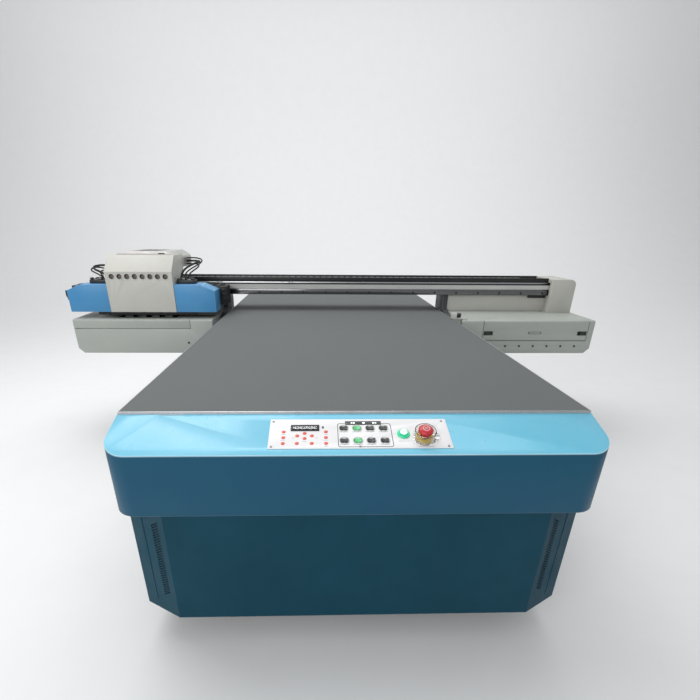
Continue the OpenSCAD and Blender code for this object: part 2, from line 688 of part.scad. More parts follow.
module ink_tanks() color("#d9dad6") placed() {
  pitch = (door_x1 - door_x0 - 20) / tank_count;
  for (i = [0:tank_count - 1]) translate([door_x0 + 10 + (i + 0.5) * pitch, 0, box_bottom + sheet_t]) {
    block([-pitch / 2 + 3, pitch / 2 - 3], [gantry_y + 60, gantry_y + 280], [0, 125]);
    translate([0, gantry_y + 100, 125]) cylinder(r = 18, h = 20);
  }
}

// outline of the tower seen from the front
module tower_outline(inset) {
  r = 35 - inset;
  x1 = beam_half + tower_w - inset;
  z1 = tower_top - inset;
  union() {
    translate([beam_half + inset, box_top - (inset > 0 ? 1 : 0)]) square([tower_w - 2 * inset, z1 - box_top - r + (inset > 0 ? 1 : 0)]);
    translate([beam_half + inset, z1 - r - 1]) square([tower_w - 2 * inset - r, r + 1]);
    translate([x1 - r, z1 - r]) circle(r = r, $fn = 96);
  }
}
module right_tower() color("#a3a49d") placed() difference() {
  along_y(tower_front, plate_back + 20 - tower_front) tower_outline(0);
  along_y(tower_front + sheet_t, plate_back + 20 - tower_front - 2 * sheet_t) tower_outline(sheet_t);
  block([beam_half - 1, beam_half + sheet_t + 1], [rail_y - 2, plate_back + 2], [beam_z - 2, beam_z + beam_h + 1]);
}

// ---- carriage ----
head_w = 40;
head_l = 68;
head_pitch = 78;
head_y = [car_y + 62, car_y + 146];
slider_front = rail_y - 30;
slider_back = rail_y - 18;

module x_slider() color(steel) placed() translate([cx, 0, 0]) difference() {
  union() {
    block([-150, 150], [slider_front, slider_back], [head_z + 40, table_h + 248]);
    for (s = [-1, 1]) {
      block([s * 100 - 40, s * 100 + 40], [slider_back, beam_y - 2], [rail_z0 - 12, rail_z0 + xrail_h + 3]);
      block([s * 120 - 8, s * 120 + 8], [car_back + 1, slider_front], [head_z + 40, table_h + 248]);
    }
    block([-30, 30], [slider_back, beam_y - 2], [belt_z + 2, belt_z + belt_h + 12]);
    block([-30, 30], [slider_back, beam_y + 110], [table_h + 234, table_h + 240]);
    block([-30, 30], [beam_y + 70, beam_y + 110], [table_h + 206, table_h + 235]);
  }
  block([-151, 151], [rail_y - run_gap, beam_y + 1], [rail_z0 - run_gap, rail_z0 + xrail_h + run_gap]);
  block([-31, 31], [pulley_y - belt_r - belt_t - 1, pulley_y - belt_r + 1], [belt_z - 5, belt_z + belt_h + 1]);
}

shelf_half = cover_w / 2 - sheet_t - 2;
module carriage_frame() color(black) placed() translate([cx, 0, 0]) difference() {
  union() {
    block([-273, wing_reach - 5], [car_y + 20, car_back], [base_z, base_z + base_t]);
    block([-170, 170], [car_back - 10, car_back], [base_z, table_h + 235]);
    block([-shelf_half, shelf_half], [car_y + 8, car_back], [table_h + 140, table_h + 146]);
  }
  for (i = [0:3], y = head_y) translate([(i - 1.5) * head_pitch, y + head_l / 2, 0])
    block([-head_w / 2 - 1, head_w / 2 + 1], [-head_l / 2 - 1, head_l / 2 + 1], [base_z - 1, base_z + base_t + 1]);
  block([310, 400], [car_y + 40, car_y + 120], [base_z - 1, base_z + base_t + 1]);
}

module print_heads() color("#6f7376") placed() translate([cx, 0, 0]) {
  for (i = [0:3], y = head_y) translate([(i - 1.5) * head_pitch, y, 0])
    block([-head_w / 2, head_w / 2], [0, head_l], [head_z, table_h + 110]);
  for (i = [0:hole_count - 1]) translate([(i - (hole_count - 1) / 2) * hole_pitch, car_y + 34, table_h + 146]) {
    cylinder(r = 17, h = 96);
    translate([0, 0, 96]) cylinder(r = 10, h = 12);
  }
}

fold_run = 80;
fold_angle = atan(fold_run / (cover_top - fold_z));
module cover_side(inset) {
  k1 = inset * tan(fold_angle / 2);
  k2 = inset * tan((90 - fold_angle) / 2);
  b = cover_bottom - (inset > 0 ? 1 : 0);
  e = inset > 0 ? 1 : 0;
  polygon(concat([[car_y + inset, b], [car_y + inset, fold_z - k1], [car_y + fold_run + k2, cover_top - inset],
    [cover_back + e, cover_top - inset]],
    inset > 0 ? [[cover_back + e, b]] : [[cover_back, hood_bottom], [cover_back - 40, hood_bottom - 30], [cover_back - 40, b]]));
}
module carriage_cover() color(grey_cover) placed() translate([cx, 0, 0]) difference() {
  along_x(-cover_w / 2, cover_w) cover_side(0);
  along_x(-cover_w / 2 + sheet_t, cover_w - 2 * sheet_t) cover_side(sheet_t);
  for (i = [0:hole_count - 1]) translate([(i - (hole_count - 1) / 2) * hole_pitch, car_y - 1, hole_z])
    rotate([-90, 0, 0]) cylinder(d = hole_d, h = sheet_t + 2);
}

module hood_outline(inset) {
  r = 25 - inset;
  half = cover_w / 2 - inset;
  z1 = cover_top - inset;
  union() {
    translate([-half, hood_bottom - (inset > 0 ? 1 : 0)]) square([2 * half, z1 - r - hood_bottom + (inset > 0 ? 1 : 0)]);
    translate([-half + r, z1 - r - 1]) square([2 * half - 2 * r, r + 1]);
    for (s = [-1, 1]) translate([s * (half - r), z1 - r]) circle(r = r, $fn = 96);
  }
}
module carriage_hood() color("#c9cac6") placed() translate([cx, 0, 0]) {
  difference() {
    along_y(cover_back, hood_back - cover_back) hood_outline(0);
    along_y(cover_back - 1, hood_back - cover_back + 1 - sheet_t) hood_outline(sheet_t);
  }
  along_y(car_y + 110, hood_back - 10 - car_y - 110)
    polygon([[-150, cover_top], [-112, cover_top + 17], [140, cover_top + 17], [168, cover_top]]);
}

module wing_outline(inset) {
  b = cover_bottom - (inset > 0 ? 1 : 0);
  x0 = cover_w / 2 + 2 + inset;
  x1 = wing_reach - inset;
  polygon([[x0, b], [x1, b], [x1, wing_top - 34 - inset * 0.7], [wing_reach - 80 - inset * 0.2, wing_top - inset], [x0, wing_top - inset]]);
}
wing_d = 133;
module lamp_covers() color(wing_blue) placed() translate([cx, 0, 0]) both_sides() difference() {
  along_y(car_y + 2, wing_d) wing_outline(0);
  along_y(car_y + 2 + sheet_t, wing_d) wing_outline(sheet_t);
}

module uv_lamps() color(black) placed() translate([cx, 0, 0]) both_sides() {
  block([300, wing_reach - 10], [car_y + 22, car_y + wing_d + 6], [base_z + base_t + 6, cover_bottom + 112]);
  block([300, wing_reach + lamp_out], [car_y + wing_d + 5, rail_y - 22], [table_h + 52, table_h + 160]);
}

// hoses from a terminal on each blue cover to the side of the grey covers
hose_left = [[-214, 1495, 209], [-216, 1496, 226], [-234, 1498, 242], [-262, 1502, 256], [-286, 1508, 267],
  [-291, 1516, 277], [-272, 1526, 284], [-240, 1534, 286], [-214, 1537, 286], [-197.5, 1537, 286]];
hose_right = [[226, 1495, 209], [227, 1498, 228], [232, 1512, 250], [244, 1538, 269], [262, 1578, 284],
  [282, 1622, 294], [292, 1664, 298], [286, 1702, 300], [266, 1732, 300], [232, 1748, 300], [212, 1751, 300], [197.5, 1751, 300]];
module lamp_hoses() color(black) placed() translate([cx, 0, 0]) {
  for (pts = [hose_left, hose_right]) hose([for (p = pts) [sign(p[0]) * (abs(p[0]) - 197 + cover_w / 2),
    p[1] - 1420 + car_y, p[2] - 191 + wing_top]], 6);
  both_sides() block([cover_w / 2 + 8, cover_w / 2 + 112], [car_y + 45, car_y + 105], [wing_top, wing_top + 20]);
}

base_beams();
base_legs();
levelling_feet();
pedestal_front();
side_panels();
rear_panel();
console_apron();
console_top();
table_bed();
table_surface();
vacuum_chamber();
vacuum_blowers();
y_rails();
screw_bearings();
y_motors();
electronics_cabinet();
control_panel();
keypad();
lcd_display();
estop_guard();
y_screw_left();
y_screw_right();
gantry_side_plates();
y_blocks();
gantry_beam();
x_rail();
drive_belt();
x_drive_mounts();
chain_tray();
drag_chain();
left_box();
left_box_lid();
right_box();
right_tower();
beam_back_covers();
ink_tanks();
ink_door();
latch_left();
latch_right();
cap_station();
x_pulley_drive();
x_pulley_idler();
x_slider();
carriage_frame();
carriage_cover();
carriage_hood();
lamp_covers();
uv_lamps();
print_heads();
lamp_hoses();
start_button();
estop_knob();
rocker_1();
rocker_2();
rocker_3();
rocker_4();
rocker_5();
rocker_6();
rocker_7();
rocker_8();
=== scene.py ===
# %% [markdown]
# # A flatbed printer, dressed around its CAD model
# The CAD model of the machine is loaded first and stays as it is. It gives the sizes and places of the
# machine's large pieces, and the fine pieces are placed around them in the same millimetres. What follows
# adds a camera, a studio, paints and metals, and then the fine pieces that a CAD model leaves out. Where a
# CAD piece has hard knife edges, a rounded copy of it is shown in its stead, because the thin bright line
# along a rounded edge is what makes sheet metal look real. The rounded edges also get a lighter paint, which
# is partly scuffed paint and partly a painted highlight.

# %% Load the frame
import json
import math

import bpy
from mathutils import Matrix, Vector


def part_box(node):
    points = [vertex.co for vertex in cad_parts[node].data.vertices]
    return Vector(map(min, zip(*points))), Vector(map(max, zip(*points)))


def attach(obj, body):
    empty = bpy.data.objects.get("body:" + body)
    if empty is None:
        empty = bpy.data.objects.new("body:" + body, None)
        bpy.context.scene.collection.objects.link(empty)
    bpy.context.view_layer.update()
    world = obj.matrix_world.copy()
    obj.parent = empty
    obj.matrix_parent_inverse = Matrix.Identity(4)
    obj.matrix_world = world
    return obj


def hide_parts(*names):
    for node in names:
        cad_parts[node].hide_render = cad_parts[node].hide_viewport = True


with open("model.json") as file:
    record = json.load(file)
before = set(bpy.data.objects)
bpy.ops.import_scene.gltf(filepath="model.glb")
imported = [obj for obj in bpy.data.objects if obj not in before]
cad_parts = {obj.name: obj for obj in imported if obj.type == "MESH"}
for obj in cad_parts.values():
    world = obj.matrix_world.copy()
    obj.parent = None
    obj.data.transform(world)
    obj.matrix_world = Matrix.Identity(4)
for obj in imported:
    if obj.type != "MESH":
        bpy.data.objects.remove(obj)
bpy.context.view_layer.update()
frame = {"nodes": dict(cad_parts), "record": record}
nodes = frame["nodes"]
body_of = {n: body for body, members in frame["record"]["behaviour"]["bodies"].items() for n in members}

# %% [markdown]
# All the sizes below are in millimetres from one handy point: the middle of the table's front edge, on the
# floor. X runs to the right, Y to the back and Z up. The point comes from the CAD box of the table bed.

# %% One place to measure from
table_lo, table_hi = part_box("table_bed")
START = Vector(((table_lo.x + table_hi.x) / 2, table_lo.y, 0))


def at(x, y, z):
    """A point in machine millimetres as a point of the scene, in metres."""
    return START + Vector((x, y, z)) / 1000


print("measured from", tuple(round(c, 4) for c in START))

# %% [markdown]
# ## Camera
# The camera stands in front of the console at chest height, looks down at 24 degrees and is turned a little
# to the right. A wide lens makes the long table narrow quickly towards the gantry. The small vertical shift
# places the machine low in the frame without tilting the camera further.

# %% Place the camera
PITCH, YAW, ROLL = math.radians(24.04), math.radians(1.63), math.radians(0.47)
look = Vector((math.sin(YAW) * math.cos(PITCH), math.cos(YAW) * math.cos(PITCH), -math.sin(PITCH)))
side = Vector((math.cos(YAW), -math.sin(YAW), 0))
over = side.cross(look)
side, over = side * math.cos(ROLL) + over * math.sin(ROLL), over * math.cos(ROLL) - side * math.sin(ROLL)
lens = bpy.data.cameras.new("camera")
lens.lens, lens.sensor_width, lens.shift_x, lens.shift_y = 21.86, 36, 0.027, 0.10
camera = bpy.data.objects.new("camera", lens)
bpy.context.scene.collection.objects.link(camera)
turn = Matrix((side, over, -look)).transposed().to_4x4()
camera.matrix_world = Matrix.Translation(at(-107.6, -1118.2, 1226.9)) @ turn
bpy.context.scene.camera = camera
print("camera at", tuple(round(c, 3) for c in camera.location))

# %% [markdown]
# ## Studio
# A pale floor that curves up into a pale wall has no horizon line. It is one plane, whose back edge is
# extruded upwards and then rounded with a wide bevel, as a paper sweep hangs in a photo studio.

# %% Helpers to select in code
def only(obj):
    """Selects this object alone and makes it the active one."""
    bpy.ops.object.select_all(action="DESELECT")
    obj.select_set(True)
    bpy.context.view_layer.objects.active = obj
    return obj


def edit(obj, mode):
    """Opens the object in edit mode with nothing selected, for picking faces, edges or points."""
    only(obj)
    bpy.ops.object.mode_set(mode="EDIT")
    bpy.ops.mesh.select_mode(type=mode)
    bpy.ops.mesh.select_all(action="DESELECT")
    bpy.ops.object.mode_set(mode="OBJECT")
    return obj.data


def settle(obj):
    """Puts the object's place, turn and size into its mesh."""
    only(obj)
    bpy.ops.object.transform_apply(location=True, rotation=True, scale=True)
    return obj


print("helpers:", only.__name__, edit.__name__, settle.__name__)

# %% Floor and wall
bpy.ops.object.select_all(action="DESELECT")
bpy.ops.mesh.primitive_plane_add(size=1, location=(0, -7, 0))
bpy.context.object.scale = (60, 34, 1)
sweep = settle(bpy.context.object)
sweep.name = "studio_sweep"
mesh = edit(sweep, "EDGE")
for edge in mesh.edges:
    edge.select = all(mesh.vertices[v].co.y > 9 for v in edge.vertices)
bpy.ops.object.mode_set(mode="EDIT")
bpy.ops.mesh.extrude_region_move(TRANSFORM_OT_translate={"value": (0, 0, 11)})
bpy.ops.object.mode_set(mode="OBJECT")
mesh = edit(sweep, "EDGE")
for edge in mesh.edges:
    edge.select = all(mesh.vertices[v].co.y > 9 and mesh.vertices[v].co.z < 1 for v in edge.vertices)
bpy.ops.object.mode_set(mode="EDIT")
bpy.ops.mesh.bevel(offset=5, segments=24, affect="EDGES")
bpy.ops.object.mode_set(mode="OBJECT")
bpy.ops.object.shade_smooth()
print("sweep faces:", len(sweep.data.polygons))

# %% [markdown]
# The light is soft and comes mostly from above and from the left. There are four softboxes: one over the
# left of the table, a large one above its middle, one in front on the left, and one that lights the wall
# behind the machine. A pale world fills the shadows. The sloping console top mirrors the left softbox, so it
# is brighter on the left than on the right.

# %% Lights
def softbox(name, place, target, width, depth, power, colour=(1, 1, 1)):
    """A rectangular area light at one point that faces another."""
    lamp = bpy.data.lights.new(name, "AREA")
    lamp.shape, lamp.size, lamp.size_y, lamp.energy, lamp.color = "RECTANGLE", width, depth, power, colour
    holder = bpy.data.objects.new(name, lamp)
    bpy.context.scene.collection.objects.link(holder)
    holder.location = place
    holder.rotation_euler = (Vector(target) - Vector(place)).to_track_quat("-Z", "Y").to_euler()
    return holder


softbox("softbox_left", (-2.1, 0.4, 4.1), (-0.5, -1.2, 0.7), 2.6, 2.8, 70)
softbox("softbox_top", (0.3, 1.2, 5.4), (0.1, 0.6, 0.7), 5.0, 5.0, 120)
softbox("softbox_front", (-2.6, -4.8, 2.6), (-0.6, 0.3, 0.7), 4.0, 2.0, 95)
softbox("wall_light", (0, 5.0, 6.0), (0, 9.0, 2.5), 14.0, 2.0, 245)
world = bpy.data.worlds.new("studio_world")
world.use_nodes = True
world.node_tree.nodes["Background"].inputs["Color"].default_value = (0.93, 0.95, 0.97, 1)
world.node_tree.nodes["Background"].inputs["Strength"].default_value = 0.55
bpy.context.scene.world = world
bpy.context.scene.view_settings.view_transform = "Standard"

# %% [markdown]
# ## Effects that several finishes share
# Powder paint, plastic and metal all have a little of everything: a grain, a slow change of tone, rubbed
# spots and dust. Each effect is one small node group with inputs for size and strength, so that every
# finish can use it at its own scale. All of them read Object coordinates, which are the machine's own
# metres, because every piece sits at the origin with its place in its mesh.

# %% A helper that builds a node group
def group(name, inputs, outputs):
    """An empty shader group. Inputs and outputs map a name to a socket type, and inputs have a value."""
    tree = bpy.data.node_groups.new(name, "ShaderNodeTree")
    for label, (kind, value) in inputs.items():
        tree.interface.new_socket(label, in_out="INPUT", socket_type=kind).default_value = value
    for label, kind in outputs.items():
        tree.interface.new_socket(label, in_out="OUTPUT", socket_type=kind)
    return tree, tree.nodes.new("NodeGroupInput"), tree.nodes.new("NodeGroupOutput")


def feed(tree, source, socket):
    """Links another socket to this one, or sets this one to a plain value."""
    if hasattr(source, "is_output"):
        tree.links.new(source, socket)
    else:
        socket.default_value = source


def noise(tree, vector, scale, detail=2.0, rough=0.5):
    """A Noise Texture on these coordinates, returned as its factor."""
    node = tree.nodes.new("ShaderNodeTexNoise")
    feed(tree, vector, node.inputs["Vector"])
    feed(tree, scale, node.inputs["Scale"])
    node.inputs["Detail"].default_value, node.inputs["Roughness"].default_value = detail, rough
    return node.outputs["Fac"]


def maths(tree, kind, a, b=0.0):
    """A Math node on sockets or numbers."""
    node = tree.nodes.new("ShaderNodeMath")
    node.operation = kind
    for socket, value in zip(node.inputs, (a, b)):
        feed(tree, value, socket)
    return node.outputs[0]


def spread(tree, value, low, high, to_low=0.0, to_high=1.0):
    """A Map Range node that turns low..high into to_low..to_high and clamps what lies outside."""
    node = tree.nodes.new("ShaderNodeMapRange")
    for label, source in (("Value", value), ("From Min", low), ("From Max", high), ("To Min", to_low),
                          ("To Max", to_high)):
        feed(tree, source, node.inputs[label])
    return node.outputs["Result"]


FLOAT, VECTOR = "NodeSocketFloat", "NodeSocketVector"
print("socket types:", FLOAT, VECTOR)

# %% [markdown]
# Powder paint isn't smooth. It has a fine pebbled skin about half a millimetre across, over a slow
# orange-peel wave of a few millimetres, and its tone drifts slightly over a hand's width.

# %% Powder grain
powder, got, out = group("powder_grain", {"Place": (VECTOR, (0, 0, 0)), "Grain": (FLOAT, 1400.0)},
                         {"Height": FLOAT, "Tone": FLOAT})
fine = noise(powder, got.outputs["Place"], got.outputs["Grain"], 1.0)
peel = noise(powder, got.outputs["Place"], maths(powder, "MULTIPLY", got.outputs["Grain"], 0.14), 1.0)
powder.links.new(maths(powder, "ADD", maths(powder, "MULTIPLY", fine, 0.55),
                       maths(powder, "MULTIPLY", peel, 0.45)),
                 out.inputs["Height"])
drift = noise(powder, got.outputs["Place"], 5.5, 4.0, 0.6)
powder.links.new(spread(powder, drift, 0.32, 0.68), out.inputs["Tone"])
print("group:", powder.name)

# %% [markdown]
# Hands and cloths leave soft rubbed spots that shine differently. They are a mask of medium noise that is
# pushed apart, and it is mixed into the roughness only.

# %% Rubbed spots
rubbed, got, out = group("rubbed_spots", {"Place": (VECTOR, (0, 0, 0)), "Spots": (FLOAT, 14.0)},
                         {"Mask": FLOAT})
spots = noise(rubbed, got.outputs["Place"], got.outputs["Spots"], 5.0, 0.62)
streak_turn = rubbed.nodes.new("ShaderNodeMapping")
streak_turn.inputs["Scale"].default_value = (9, 9, 2)
rubbed.links.new(got.outputs["Place"], streak_turn.inputs["Vector"])
streaks = noise(rubbed, streak_turn.outputs[0], 3.0, 3.0, 0.5)
rubbed.links.new(spread(rubbed, maths(rubbed, "ADD", spots, maths(rubbed, "MULTIPLY", streaks, 0.45)), 0.52,
                        0.95),
                 out.inputs["Mask"])
print("group:", rubbed.name)

# %% [markdown]
# Dust settles on what faces up, and in patches. The mask is the upward part of the surface's direction
# times a clumped noise.

# %% Settled dust
dusty, got, out = group("settled_dust", {"Place": (VECTOR, (0, 0, 0)), "Amount": (FLOAT, 0.2)},
                        {"Mask": FLOAT})
facing = dusty.nodes.new("ShaderNodeNewGeometry")
parts = dusty.nodes.new("ShaderNodeSeparateXYZ")
dusty.links.new(facing.outputs["Normal"], parts.inputs[0])
upward = spread(dusty, parts.outputs["Z"], 0.35, 0.95)
clumps = spread(dusty, noise(dusty, got.outputs["Place"], 38, 6.0, 0.65), 0.42, 0.72)
dusty.links.new(maths(dusty, "MULTIPLY", maths(dusty, "MULTIPLY", upward, clumps), got.outputs["Amount"]),
                out.inputs["Mask"])
print("group:", dusty.name)

# %% [markdown]
# Drawn and ground metal has hairlines along one direction. The same noise is stretched: many cells across
# the lines and few along them.

# %% Hairlines
hairline, got, out = group("hairlines", {"Place": (VECTOR, (0, 0, 0)), "Stretch": (VECTOR, (4, 900, 900))},
                           {"Height": FLOAT, "Tone": FLOAT})
stretch = hairline.nodes.new("ShaderNodeVectorMath")
stretch.operation = "MULTIPLY"
hairline.links.new(got.outputs["Place"], stretch.inputs[0])
hairline.links.new(got.outputs["Stretch"], stretch.inputs[1])
lines = noise(hairline, stretch.outputs[0], 1.0, 3.0, 0.6)
hairline.links.new(lines, out.inputs["Height"])
hairline.links.new(spread(hairline, noise(hairline, stretch.outputs[0], 0.22, 2.0, 0.5), 0.3, 0.7),
                   out.inputs["Tone"])
print("group:", hairline.name)

# %% [markdown]
# ## Finishes
# Every finish is one function call with its own colours and numbers. The function places the shared groups
# in a new material and joins them to a Principled shader. A painted piece gets two materials: its paint, and
# a lighter, smoother copy of it that goes on the rounded edges, partly scuffed paint and partly a painted
# highlight along the edge.

# %% A helper that starts a material
def new_material(name):
    """A material with its Principled shader and its object coordinates."""
    material = bpy.data.materials.new(name)
    material.use_nodes = True
    tree = material.node_tree
    shader = tree.nodes["Principled BSDF"]
    place = tree.nodes.new("ShaderNodeTexCoord").outputs["Object"]
    return material, tree, shader, place


def use(tree, source, place, **values):
    """Puts a shared group into a material, on these coordinates and with these values."""
    node = tree.nodes.new("ShaderNodeGroup")
    node.node_tree = source
    tree.links.new(place, node.inputs["Place"])
    for label, value in values.items():
        node.inputs[label].default_value = value
    return node


def blend_colours(tree, mask, a, b):
    """Mixes two colours, each a socket or a plain colour, by a mask."""
    node = tree.nodes.new("ShaderNodeMix")
    node.data_type = "RGBA"
    tree.links.new(mask, node.inputs["Factor"])
    for socket, value in ((node.inputs[6], a), (node.inputs[7], b)):
        feed(tree, value if hasattr(value, "is_output") else (*value, 1), socket)
    return node.outputs[2]


def relief(tree, shader, height, strength, depth):
    """Feeds a height into the shader's normal."""
    bump = tree.nodes.new("ShaderNodeBump")
    bump.inputs["Strength"].default_value, bump.inputs["Distance"].default_value = strength, depth
    tree.links.new(height, bump.inputs["Height"])
    tree.links.new(bump.outputs[0], shader.inputs["Normal"])


def surface(tree, shader, base, marks, film, gloss, dust_colour=(0.5, 0.49, 0.46)):
    """Lays dust over the base colour, and lets the rubbed spots change the roughness."""
    tree.links.new(blend_colours(tree, film.outputs["Mask"], base, dust_colour), shader.inputs["Base Color"])
    tree.links.new(spread(tree, marks.outputs["Mask"], 0, 1, *gloss), shader.inputs["Roughness"])


print("shared groups:", [tree.name for tree in bpy.data.node_groups])


# %% Paint
def paint(name, colour, shade, gloss=(0.34, 0.52), grain=1400.0, depth=0.00012, coat=0.0, dust=0.12,
          shine=0.4):
    """Powder paint whose tone drifts from one colour to another, with rubbed spots and dust."""
    material, tree, shader, place = new_material(name)
    skin = use(tree, powder, place, Grain=grain)
    marks = use(tree, rubbed, place, Spots=14.0)
    film = use(tree, dusty, place, Amount=dust)
    surface(tree, shader, blend_colours(tree, skin.outputs["Tone"], colour, shade), marks, film, gloss,
            (0.55, 0.54, 0.5))
    shader.inputs["Specular IOR Level"].default_value = shine
    shader.inputs["Coat Weight"].default_value = coat
    shader.inputs["Coat Roughness"].default_value = 0.2
    relief(tree, shader, skin.outputs["Height"], 0.55, depth)
    return material


def lighter(colour, share):
    """The colour moved this share of the way to white."""
    return tuple(c + (1 - c) * share for c in colour)


def painted_pair(name, colour, shade, scuff_and_highlight=0.12, **rest):
    """The paint, and its lighter edge copy: partly scuffed paint, partly a painted highlight."""
    scuffed_and_highlit = dict(rest, gloss=(0.28, 0.42))
    return [paint(name, colour, shade, **rest),
            paint(name + "_edge", lighter(colour, scuff_and_highlight), lighter(shade, scuff_and_highlight * 0.6), **scuffed_and_highlit)]


print("paint helpers:", paint.__name__, painted_pair.__name__)


# %% Metal
def metal(name, colour, gloss=(0.22, 0.36), stretch=(4, 900, 900), depth=0.00004, stain=0.8, dust=0.06):
    """Bare metal with hairlines, faint stains and dust."""
    material, tree, shader, place = new_material(name)
    lines = use(tree, hairline, place, Stretch=stretch)
    marks = use(tree, rubbed, place, Spots=22.0)
    film = use(tree, dusty, place, Amount=dust)
    base = blend_colours(tree, lines.outputs["Tone"], colour, tuple(c * stain for c in colour))
    surface(tree, shader, base, marks, film, gloss)
    shader.inputs["Metallic"].default_value = 1.0
    relief(tree, shader, lines.outputs["Height"], 0.35, depth)
    return material


print("metal helper:", metal.__name__)


# %% Plastic and rubber
def plastic(name, colour, shade=None, gloss=(0.35, 0.5), grain=2600.0, depth=0.00005, dust=0.1, glow=0.0,
            clear=0.0):
    """Moulded plastic with a fine spark-eroded grain. It may glow, or let light through."""
    material, tree, shader, place = new_material(name)
    skin = use(tree, powder, place, Grain=grain)
    marks = use(tree, rubbed, place, Spots=30.0)
    film = use(tree, dusty, place, Amount=dust)
    base = blend_colours(tree, skin.outputs["Tone"], colour, shade or tuple(c * 0.82 for c in colour))
    surface(tree, shader, base, marks, film, gloss)
    if glow:
        tree.links.new(base, shader.inputs["Emission Color"])
        shader.inputs["Emission Strength"].default_value = glow
    if clear:
        shader.inputs["Transmission Weight"].default_value = clear
        shader.inputs["IOR"].default_value = 1.45
    relief(tree, shader, skin.outputs["Height"], 0.4, depth)
    return material


print("plastic helper:", plastic.__name__)

# %% [markdown]
# The colours are given in linear light. The console has three blues: a pale one on the slope, a mid one
# on the apron and a deep one on the pedestal. The boxes and the carriage are warm light greys, and the lamp
# covers are sky blue.

# %% The machine's own finishes
apron_blue = painted_pair("apron_blue", (0.008, 0.075, 0.142), (0.007, 0.079, 0.136), scuff_and_highlight=0.16,
                          gloss=(0.36, 0.5), shine=0.22)
pedestal_teal = painted_pair("pedestal_teal", (0.004, 0.052, 0.084), (0.003, 0.045, 0.072), scuff_and_highlight=0.10,
                             gloss=(0.45, 0.6), dust=0.03, shine=0.15)
# The slope's edge copy is far lighter: a painted highlight along its bright front rim.
slope_blue = painted_pair("slope_blue", (0.125, 0.475, 0.65), (0.140, 0.50, 0.67), scuff_and_highlight=0.55,
                          gloss=(0.26, 0.38), dust=0.05, coat=0.45)
box_grey = painted_pair("box_grey", (0.385, 0.408, 0.375), (0.355, 0.382, 0.352), scuff_and_highlight=0.22)
cover_grey = painted_pair("cover_grey", (0.520, 0.515, 0.470), (0.490, 0.487, 0.448), scuff_and_highlight=0.2)
tower_grey = painted_pair("tower_grey", (0.480, 0.475, 0.430), (0.450, 0.448, 0.410), scuff_and_highlight=0.2)
wing_blue = painted_pair("wing_blue", (0.055, 0.250, 0.500), (0.062, 0.272, 0.520), scuff_and_highlight=0.18,
                         gloss=(0.3, 0.42))
frame_grey = painted_pair("frame_grey", (0.055, 0.058, 0.060), (0.045, 0.048, 0.050), scuff_and_highlight=0.12)
soot_black = painted_pair("soot_black", (0.012, 0.012, 0.013), (0.018, 0.018, 0.019), scuff_and_highlight=0.06,
                          gloss=(0.35, 0.5))
panel_white = painted_pair("panel_white", (0.80, 0.79, 0.80), (0.76, 0.755, 0.765), scuff_and_highlight=0.3,
                           gloss=(0.3, 0.4), dust=0.04, grain=2600.0, depth=0.00004)
hood_silver = metal("hood_silver", (0.58, 0.57, 0.56), (0.42, 0.55), (500, 6, 500), 0.00003, 0.9)
bed_metal = metal("bed_metal", (0.62, 0.63, 0.64), (0.3, 0.42), (900, 4, 900))
beam_metal = metal("beam_metal", (0.50, 0.51, 0.52), (0.26, 0.38), (3, 900, 900))
# The rail steel is much darker than steel: a painted reflection, as polished steel mirrors dark surroundings.
rail_steel = metal("rail_steel", (0.20, 0.20, 0.205), (0.10, 0.2), (3, 1200, 1200), 0.00002)
long_steel = metal("long_steel", (0.42, 0.42, 0.43), (0.10, 0.2), (1200, 3, 1200), 0.00002)
zinc = metal("zinc", (0.52, 0.53, 0.55), (0.3, 0.48), (160, 160, 160), 0.00006, 0.75)
screw_metal = metal("screw_metal", (0.34, 0.34, 0.35), (0.25, 0.4), (400, 400, 400), 0.00003, 0.7)
cast_metal = metal("cast_metal", (0.30, 0.31, 0.32), (0.42, 0.6), (120, 120, 120), 0.0002, 0.8)
black_plastic = plastic("black_plastic", (0.014, 0.014, 0.015), (0.020, 0.020, 0.021))
black_rubber = plastic("black_rubber", (0.006, 0.006, 0.007), (0.010, 0.010, 0.011), (0.6, 0.75), 900.0,
                       0.00008, dust=0.03)
belt_grey = plastic("belt_grey", (0.56, 0.56, 0.54), (0.48, 0.48, 0.47), (0.5, 0.62))
tank_white = plastic("tank_white", (0.66, 0.67, 0.64), (0.58, 0.59, 0.57), (0.32, 0.45))
key_red = plastic("key_red", (0.70, 0.085, 0.045), (0.62, 0.07, 0.04), (0.25, 0.35), dust=0.03)
knob_red = plastic("knob_red", (0.56, 0.025, 0.035), (0.48, 0.02, 0.03), (0.24, 0.34), dust=0.05)
knob_line = plastic("knob_line", (0.74, 0.60, 0.60), (0.68, 0.52, 0.52), (0.3, 0.4))
collar_yellow = plastic("collar_yellow", (0.82, 0.62, 0.02), (0.74, 0.55, 0.02), (0.3, 0.42))
guard_clear = plastic("guard_clear", (0.97, 0.97, 0.94), (0.95, 0.95, 0.91), (0.03, 0.08), clear=0.97,
                      dust=0.02)
lens_green = plastic("lens_green", (0.02, 0.45, 0.22), (0.03, 0.52, 0.27), (0.15, 0.25), glow=0.35)
glowing_white = plastic("glowing_white", (0.86, 1.0, 0.93), (0.80, 0.98, 0.90), (0.15, 0.25), glow=0.75)
rocker_green = plastic("rocker_green", (0.04, 0.42, 0.13), (0.05, 0.5, 0.17), (0.18, 0.28), glow=0.15)
display_black = plastic("display_black", (0.006, 0.006, 0.007), (0.008, 0.008, 0.009), (0.08, 0.14),
                        dust=0.02)
display_glow = plastic("display_glow", (0.82, 0.86, 0.84), (0.75, 0.80, 0.78), (0.4, 0.5), glow=0.5)
print_grey = plastic("print_grey", (0.30, 0.30, 0.31), (0.36, 0.36, 0.37), (0.4, 0.5))
cap_brown = plastic("cap_brown", (0.155, 0.130, 0.105), (0.11, 0.095, 0.08))
